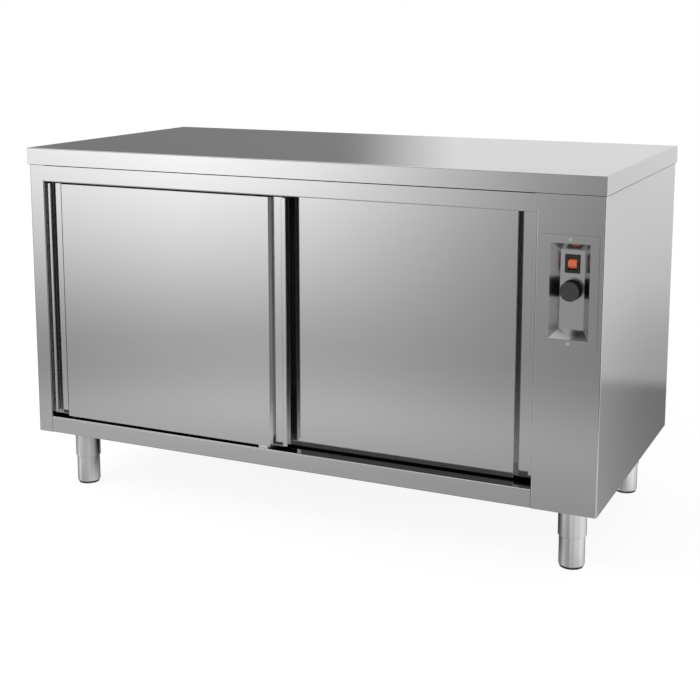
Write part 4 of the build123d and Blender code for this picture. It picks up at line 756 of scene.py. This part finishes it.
def nylon(name, colour, cloudy, roughness):
    """Moulded nylon that drifts between two close colours."""
    finish, tree, place = blank(name)
    flow = add(tree, "ShaderNodeTexNoise",
               {"Vector": place, "Scale": 1 / FLOW, "Detail": 2.0, "Distortion": 0.6})
    tone = add(tree, "ShaderNodeMix",
               {0: flow.outputs[0], TINT_0: linear(colour), TINT_1: linear(cloudy)},
               data_type="RGBA")
    drag = add(tree, "ShaderNodeTexNoise", {"Vector": place, "Scale": 1 / DRAG})
    blur = add(tree, "ShaderNodeMapRange",
               {"Value": drag.outputs[0], "To Min": roughness - DRAG_DRIFT,
                "To Max": roughness + DRAG_DRIFT})
    skin = add(tree, "ShaderNodeBsdfPrincipled",
               {"Base Color": tone.outputs[TINTED], "Roughness": blur.outputs[0], "IOR": NYLON_IOR})
    add(tree, "ShaderNodeOutputMaterial", {"Surface": skin.outputs[0]})
    return finish


dress(nylon("moulded_natural_nylon", "DAD9D4", "CECDC6", 0.42), stock["guide_nylon"])
dress(nylon("moulded_white_nylon", "E9E8E4", "DEDCD6", 0.36), stock["roller_nylon"])
dress(nylon("moulded_grey_nylon", "B4B7B9", "A6AAAD", 0.48), stock["gland_nylon"])

# %% [markdown]
# ## Switch
# The switch's frame is black ABS from a spark-eroded mould. Sparks pit the mould, and the
# plastic takes the pits as a fine even grain that keeps the black dull. A bump breaks up the
# gloss as the pits do, where roughness alone would only blur it. The grain is really a tenth of
# a millimetre and is drawn at 0.4 mm.

# %% Switch frame
PIT, PIT_DEPTH = 0.4 * MM, 0.05 * MM

abs_black, tree, place = blank("spark_eroded_black_abs")
pits = add(tree, "ShaderNodeTexNoise", {"Vector": place, "Scale": 1 / PIT, "Detail": 1.0})
tone = add(tree, "ShaderNodeMix",
           {0: pits.outputs[0], TINT_0: linear("161616"), TINT_1: linear("222222")},
           data_type="RGBA")
relief = add(tree, "ShaderNodeBump",
             {"Strength": 0.25, "Distance": PIT_DEPTH, "Height": pits.outputs[0]})
skin = add(tree, "ShaderNodeBsdfPrincipled",
           {"Base Color": tone.outputs[TINTED], "Roughness": 0.42, "Normal": relief.outputs[0]})
add(tree, "ShaderNodeOutputMaterial", {"Surface": skin.outputs[0]})
dress(abs_black, stock["switch_black"])

# %% [markdown]
# The rocker is orange polycarbonate with a lamp behind it. It is clear plastic with a lot of
# dye, so the colour looks deep, and its polished skin is glossy. It could be tinted glass, but
# the lamp is off and hardly any light comes through, so a glossy solid colour looks the same.
# The dye swirls a little where the plastic entered the mould, which is drawn as a noise 5 mm
# across.

# %% Rocker
POLYCARBONATE_IOR = 1.58
SWIRL = 5 * MM

polycarbonate, tree, place = blank("tinted_polycarbonate")
dye = add(tree, "ShaderNodeTexNoise",
          {"Vector": place, "Scale": 1 / SWIRL, "Detail": 1.0, "Distortion": 1.0})
tone = add(tree, "ShaderNodeMix",
           {0: dye.outputs[0], TINT_0: linear("CE6039"), TINT_1: linear("DC6B43")},
           data_type="RGBA")
skin = add(tree, "ShaderNodeBsdfPrincipled",
           {"Base Color": tone.outputs[TINTED], "Roughness": 0.3, "IOR": POLYCARBONATE_IOR})
add(tree, "ShaderNodeOutputMaterial", {"Surface": skin.outputs[0]})
dress(polycarbonate, stock["rocker_orange"])

# %% [markdown]
# ## Knob
# The knob is moulded from black phenolic resin in a blasted mould, so its skin is matt and mirrors
# very little. The face is dark grey and the side near black, and the side's black is partly its own
# colour and partly painted shade. As on the control plate, the depth along Y fades one into the
# other. Filler in the resin shows as specks about 0.6 mm across.

# %% Knob
PHENOLIC_IOR = 1.6
FACE_DEPTH = 1.4 * MM  # how far the grey face reaches down the side
SPECK = 0.6 * MM

knob_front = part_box("thermostat_knob")[0][1]
phenolic, tree, place = blank("moulded_black_phenolic")
depth = add(tree, "ShaderNodeSeparateXYZ", {0: place}).outputs["Y"]
side = add(tree, "ShaderNodeMapRange",
           {"Value": depth, "From Min": knob_front + FACE_DEPTH / 2,
            "From Max": knob_front + FACE_DEPTH})
specks = add(tree, "ShaderNodeTexNoise", {"Vector": place, "Scale": 1 / SPECK, "Detail": 2.0})
face = add(tree, "ShaderNodeMix",
           {0: specks.outputs[0], TINT_0: linear("3A3A3A"), TINT_1: linear("404040")},
           data_type="RGBA")
# Painted shade in part: the side is near black.
tone = add(tree, "ShaderNodeMix",
           {0: side.outputs[0], TINT_0: face.outputs[TINTED], TINT_1: linear("060606")},
           data_type="RGBA")
blur = add(tree, "ShaderNodeMapRange", {"Value": side.outputs[0], "To Min": 0.5, "To Max": 0.6})
skin = add(tree, "ShaderNodeBsdfPrincipled",
           {"Base Color": tone.outputs[TINTED], "Roughness": blur.outputs[0], "IOR": PHENOLIC_IOR,
            "Specular IOR Level": 0.1})
add(tree, "ShaderNodeOutputMaterial", {"Surface": skin.outputs[0]})
dress(phenolic, stock["knob_black"])

# %% [markdown]
# ## Thermostat and fan
# Behind the dish the thermostat sits in a brown phenolic body, mottled by wood-flour filler. The
# flour lies in the whole plastic and not on it, so the mottling needs no relief, only a noise
# 1.5 mm across between two browns.

# %% Thermostat body
MOTTLING = 1.5 * MM

filled_phenolic, tree, place = blank("filled_brown_phenolic")
flour = add(tree, "ShaderNodeTexNoise", {"Vector": place, "Scale": 1 / MOTTLING, "Detail": 4.0})
tone = add(tree, "ShaderNodeMix",
           {0: flour.outputs[0], TINT_0: linear("3A2418"), TINT_1: linear("6E4A30")},
           data_type="RGBA")
skin = add(tree, "ShaderNodeBsdfPrincipled",
           {"Base Color": tone.outputs[TINTED], "Roughness": 0.4, "IOR": PHENOLIC_IOR})
add(tree, "ShaderNodeOutputMaterial", {"Surface": skin.outputs[0]})
dress(filled_phenolic, stock["thermostat_body"])

# %% [markdown]
# The fan's motor is dipped in black enamel. Thick enamel dries with a slightly rolling surface,
# like orange peel, which wobbles its highlights. A rougher skin would only dull them, so a bump
# 2.5 mm across bends them.

# %% Motor enamel
PEEL, PEEL_DEPTH = 2.5 * MM, 0.2 * MM

enamel, tree, place = blank("dipped_black_enamel")
peel = add(tree, "ShaderNodeTexNoise", {"Vector": place, "Scale": 1 / PEEL, "Detail": 0.0})
tone = add(tree, "ShaderNodeMix",
           {0: peel.outputs[0], TINT_0: linear("1E2022"), TINT_1: linear("2A2C2E")},
           data_type="RGBA")
relief = add(tree, "ShaderNodeBump",
             {"Strength": 0.4, "Distance": PEEL_DEPTH, "Height": peel.outputs[0]})
skin = add(tree, "ShaderNodeBsdfPrincipled",
           {"Base Color": tone.outputs[TINTED], "Roughness": 0.28, "Normal": relief.outputs[0]})
add(tree, "ShaderNodeOutputMaterial", {"Surface": skin.outputs[0]})
dress(enamel, stock["motor_paint"])

# %% [markdown]
# The fan wheel is pressed from aluminium sheet, which keeps the fine straight lines of the
# rolling mill. The sheet had its lines before it was pressed, so they run straight across the
# wheel and not round it. They are drawn 1 mm wide and 60 mm long.

# %% Fan wheel
MILL_LINE, MILL_LENGTH = 1 * MM, 60 * MM

aluminium, tree, place = blank("pressed_rolled_aluminium")
lines = scratches(tree, place, (MILL_LENGTH, MILL_LINE, MILL_LENGTH))
tone = add(tree, "ShaderNodeMix",
           {0: lines, TINT_0: linear("BFC1C4"), TINT_1: linear("CDCFD1")}, data_type="RGBA")
blur = add(tree, "ShaderNodeMapRange", {"Value": lines, "To Min": 0.28, "To Max": 0.4})
skin = add(tree, "ShaderNodeBsdfPrincipled",
           {"Base Color": tone.outputs[TINTED], "Metallic": 1.0, "Roughness": blur.outputs[0]})
add(tree, "ShaderNodeOutputMaterial", {"Surface": skin.outputs[0]})
dress(aluminium, stock["fan_aluminium"])

# %% [markdown]
# ## Heater
# The heating element is a steel tube that was annealed red hot before it was bent. The heat
# left an oxide film in dull straw and blue-grey bands. Bands could follow a map laid along the
# bends, but on a tube so thin a noise 18 mm across breaks into bands by itself.

# %% Heating element
HEAT_BAND = 18 * MM

annealed, tree, place = blank("annealed_heater_tube")
tint = add(tree, "ShaderNodeTexNoise", {"Vector": place, "Scale": 1 / HEAT_BAND, "Detail": 2.0})
tone = add(tree, "ShaderNodeMix",
           {0: tint.outputs[0], TINT_0: linear("8C7C68"), TINT_1: linear("6E7480")},
           data_type="RGBA")
film = add(tree, "ShaderNodeBsdfPrincipled",
           {"Base Color": tone.outputs[TINTED], "Metallic": 1.0, "Roughness": 0.38})
add(tree, "ShaderNodeOutputMaterial", {"Surface": film.outputs[0]})
dress(annealed, stock["element_steel"])

# %% [markdown]
# The terminal block is glazed steatite, a creamy white ceramic. Glaze is glass, so it is smooth
# and shiny, with fine iron specks under it. Dots from a regular pattern would look printed, so
# only the highest peaks of a fine noise show as specks, which leaves them few and uneven.

# %% Ceramic
GLAZE_IOR = 1.52
IRON_SPECK = 0.8 * MM
SPECK_EDGE, SPECK_FULL = 0.64, 0.7  # levels of the noise

steatite, tree, place = blank("glazed_steatite")
iron = add(tree, "ShaderNodeTexNoise", {"Vector": place, "Scale": 1 / IRON_SPECK, "Detail": 1.0})
speck = add(tree, "ShaderNodeMapRange",
            {"Value": iron.outputs[0], "From Min": SPECK_EDGE, "From Max": SPECK_FULL})
tone = add(tree, "ShaderNodeMix",
           {0: speck.outputs[0], TINT_0: linear("EBE8DF"), TINT_1: linear("BFB49E")},
           data_type="RGBA")
glaze = add(tree, "ShaderNodeBsdfPrincipled",
            {"Base Color": tone.outputs[TINTED], "Roughness": 0.14, "IOR": GLAZE_IOR})
add(tree, "ShaderNodeOutputMaterial", {"Surface": glaze.outputs[0]})
dress(steatite, stock["ceramic"])

# %% [markdown]
# ## Wool and board
# The walls are stuffed with mineral wool bonded by a yellow resin. It is a mat of fibres that
# lie mostly flat, with paler and browner tufts. Real strands could be grown on it, but it is shut
# in behind steel, so two noises are enough: a wide one for the tufts, and a fine one drawn out
# sideways for the fibres, which lifts the surface.

# %% Insulation
TUFT, FIBRE, FIBRE_LENGTH = 14 * MM, 1.5 * MM, 12 * MM

wool, tree, place = blank("bonded_mineral_wool")
tufts = add(tree, "ShaderNodeTexNoise", {"Vector": place, "Scale": 1 / TUFT, "Detail": 3.0})
fibres = scratches(tree, place, (FIBRE_LENGTH, FIBRE_LENGTH, FIBRE))
tone = add(tree, "ShaderNodeMix",
           {0: tufts.outputs[0], TINT_0: linear("A58B4C"), TINT_1: linear("CDBB86")},
           data_type="RGBA")
relief = add(tree, "ShaderNodeBump", {"Strength": 0.7, "Distance": FIBRE, "Height": fibres})
mat = add(tree, "ShaderNodeBsdfPrincipled",
          {"Base Color": tone.outputs[TINTED], "Roughness": 0.95, "Normal": relief.outputs[0]})
add(tree, "ShaderNodeOutputMaterial", {"Surface": mat.outputs[0]})
dress(wool, stock["mineral_wool"])

# %% [markdown]
# Between its two skins each door is filled with a kraft paper honeycomb. Brown cell walls stand 12
# mm apart, and the shade in the hollows between them is painted as a darker brown. The cells could
# be cut out, but they are shut in between the skins, so the edges of Voronoi cells draw the walls.

# %% Door core
CELL, WALL_DEPTH = 12 * MM, 1 * MM
PAPER_FROM, PAPER_TO = 0.03, 0.12  # distance from a cell's edge, as a share of the cell

kraft, tree, place = blank("kraft_paper_honeycomb")
cells = add(tree, "ShaderNodeTexVoronoi",
            {"Vector": place, "Scale": 1 / CELL, "Randomness": 0.25},
            feature="DISTANCE_TO_EDGE")
wall = add(tree, "ShaderNodeMapRange",
           {"Value": cells.outputs["Distance"], "From Min": PAPER_FROM, "From Max": PAPER_TO})
# Painted shade: the hollows between the cell walls are darker.
tone = add(tree, "ShaderNodeMix",
           {0: wall.outputs[0], TINT_0: linear("B2966A"), TINT_1: linear("5E4A30")},
           data_type="RGBA")
relief = add(tree, "ShaderNodeBump",
             {"Strength": 0.6, "Distance": WALL_DEPTH, "Height": wall.outputs[0]}, invert=True)
paper_wall = add(tree, "ShaderNodeBsdfPrincipled",
                 {"Base Color": tone.outputs[TINTED], "Roughness": 0.85,
                  "Normal": relief.outputs[0]})
add(tree, "ShaderNodeOutputMaterial", {"Surface": paper_wall.outputs[0]})
dress(kraft, stock["core_board"])

# %% [markdown]
# ## Check and finish
# Every piece should now wear one of the finishes above, and any piece that still wears its imported
# stock is printed. Its box should also still be the box of the imported model, because nothing was
# added that sticks out.

# %% Finish
bare = [name for name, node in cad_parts.items()
        if any(slot.material.name.split(".")[0] in stock for slot in node.material_slots)]
print("pieces", len(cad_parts), "still bare", bare)
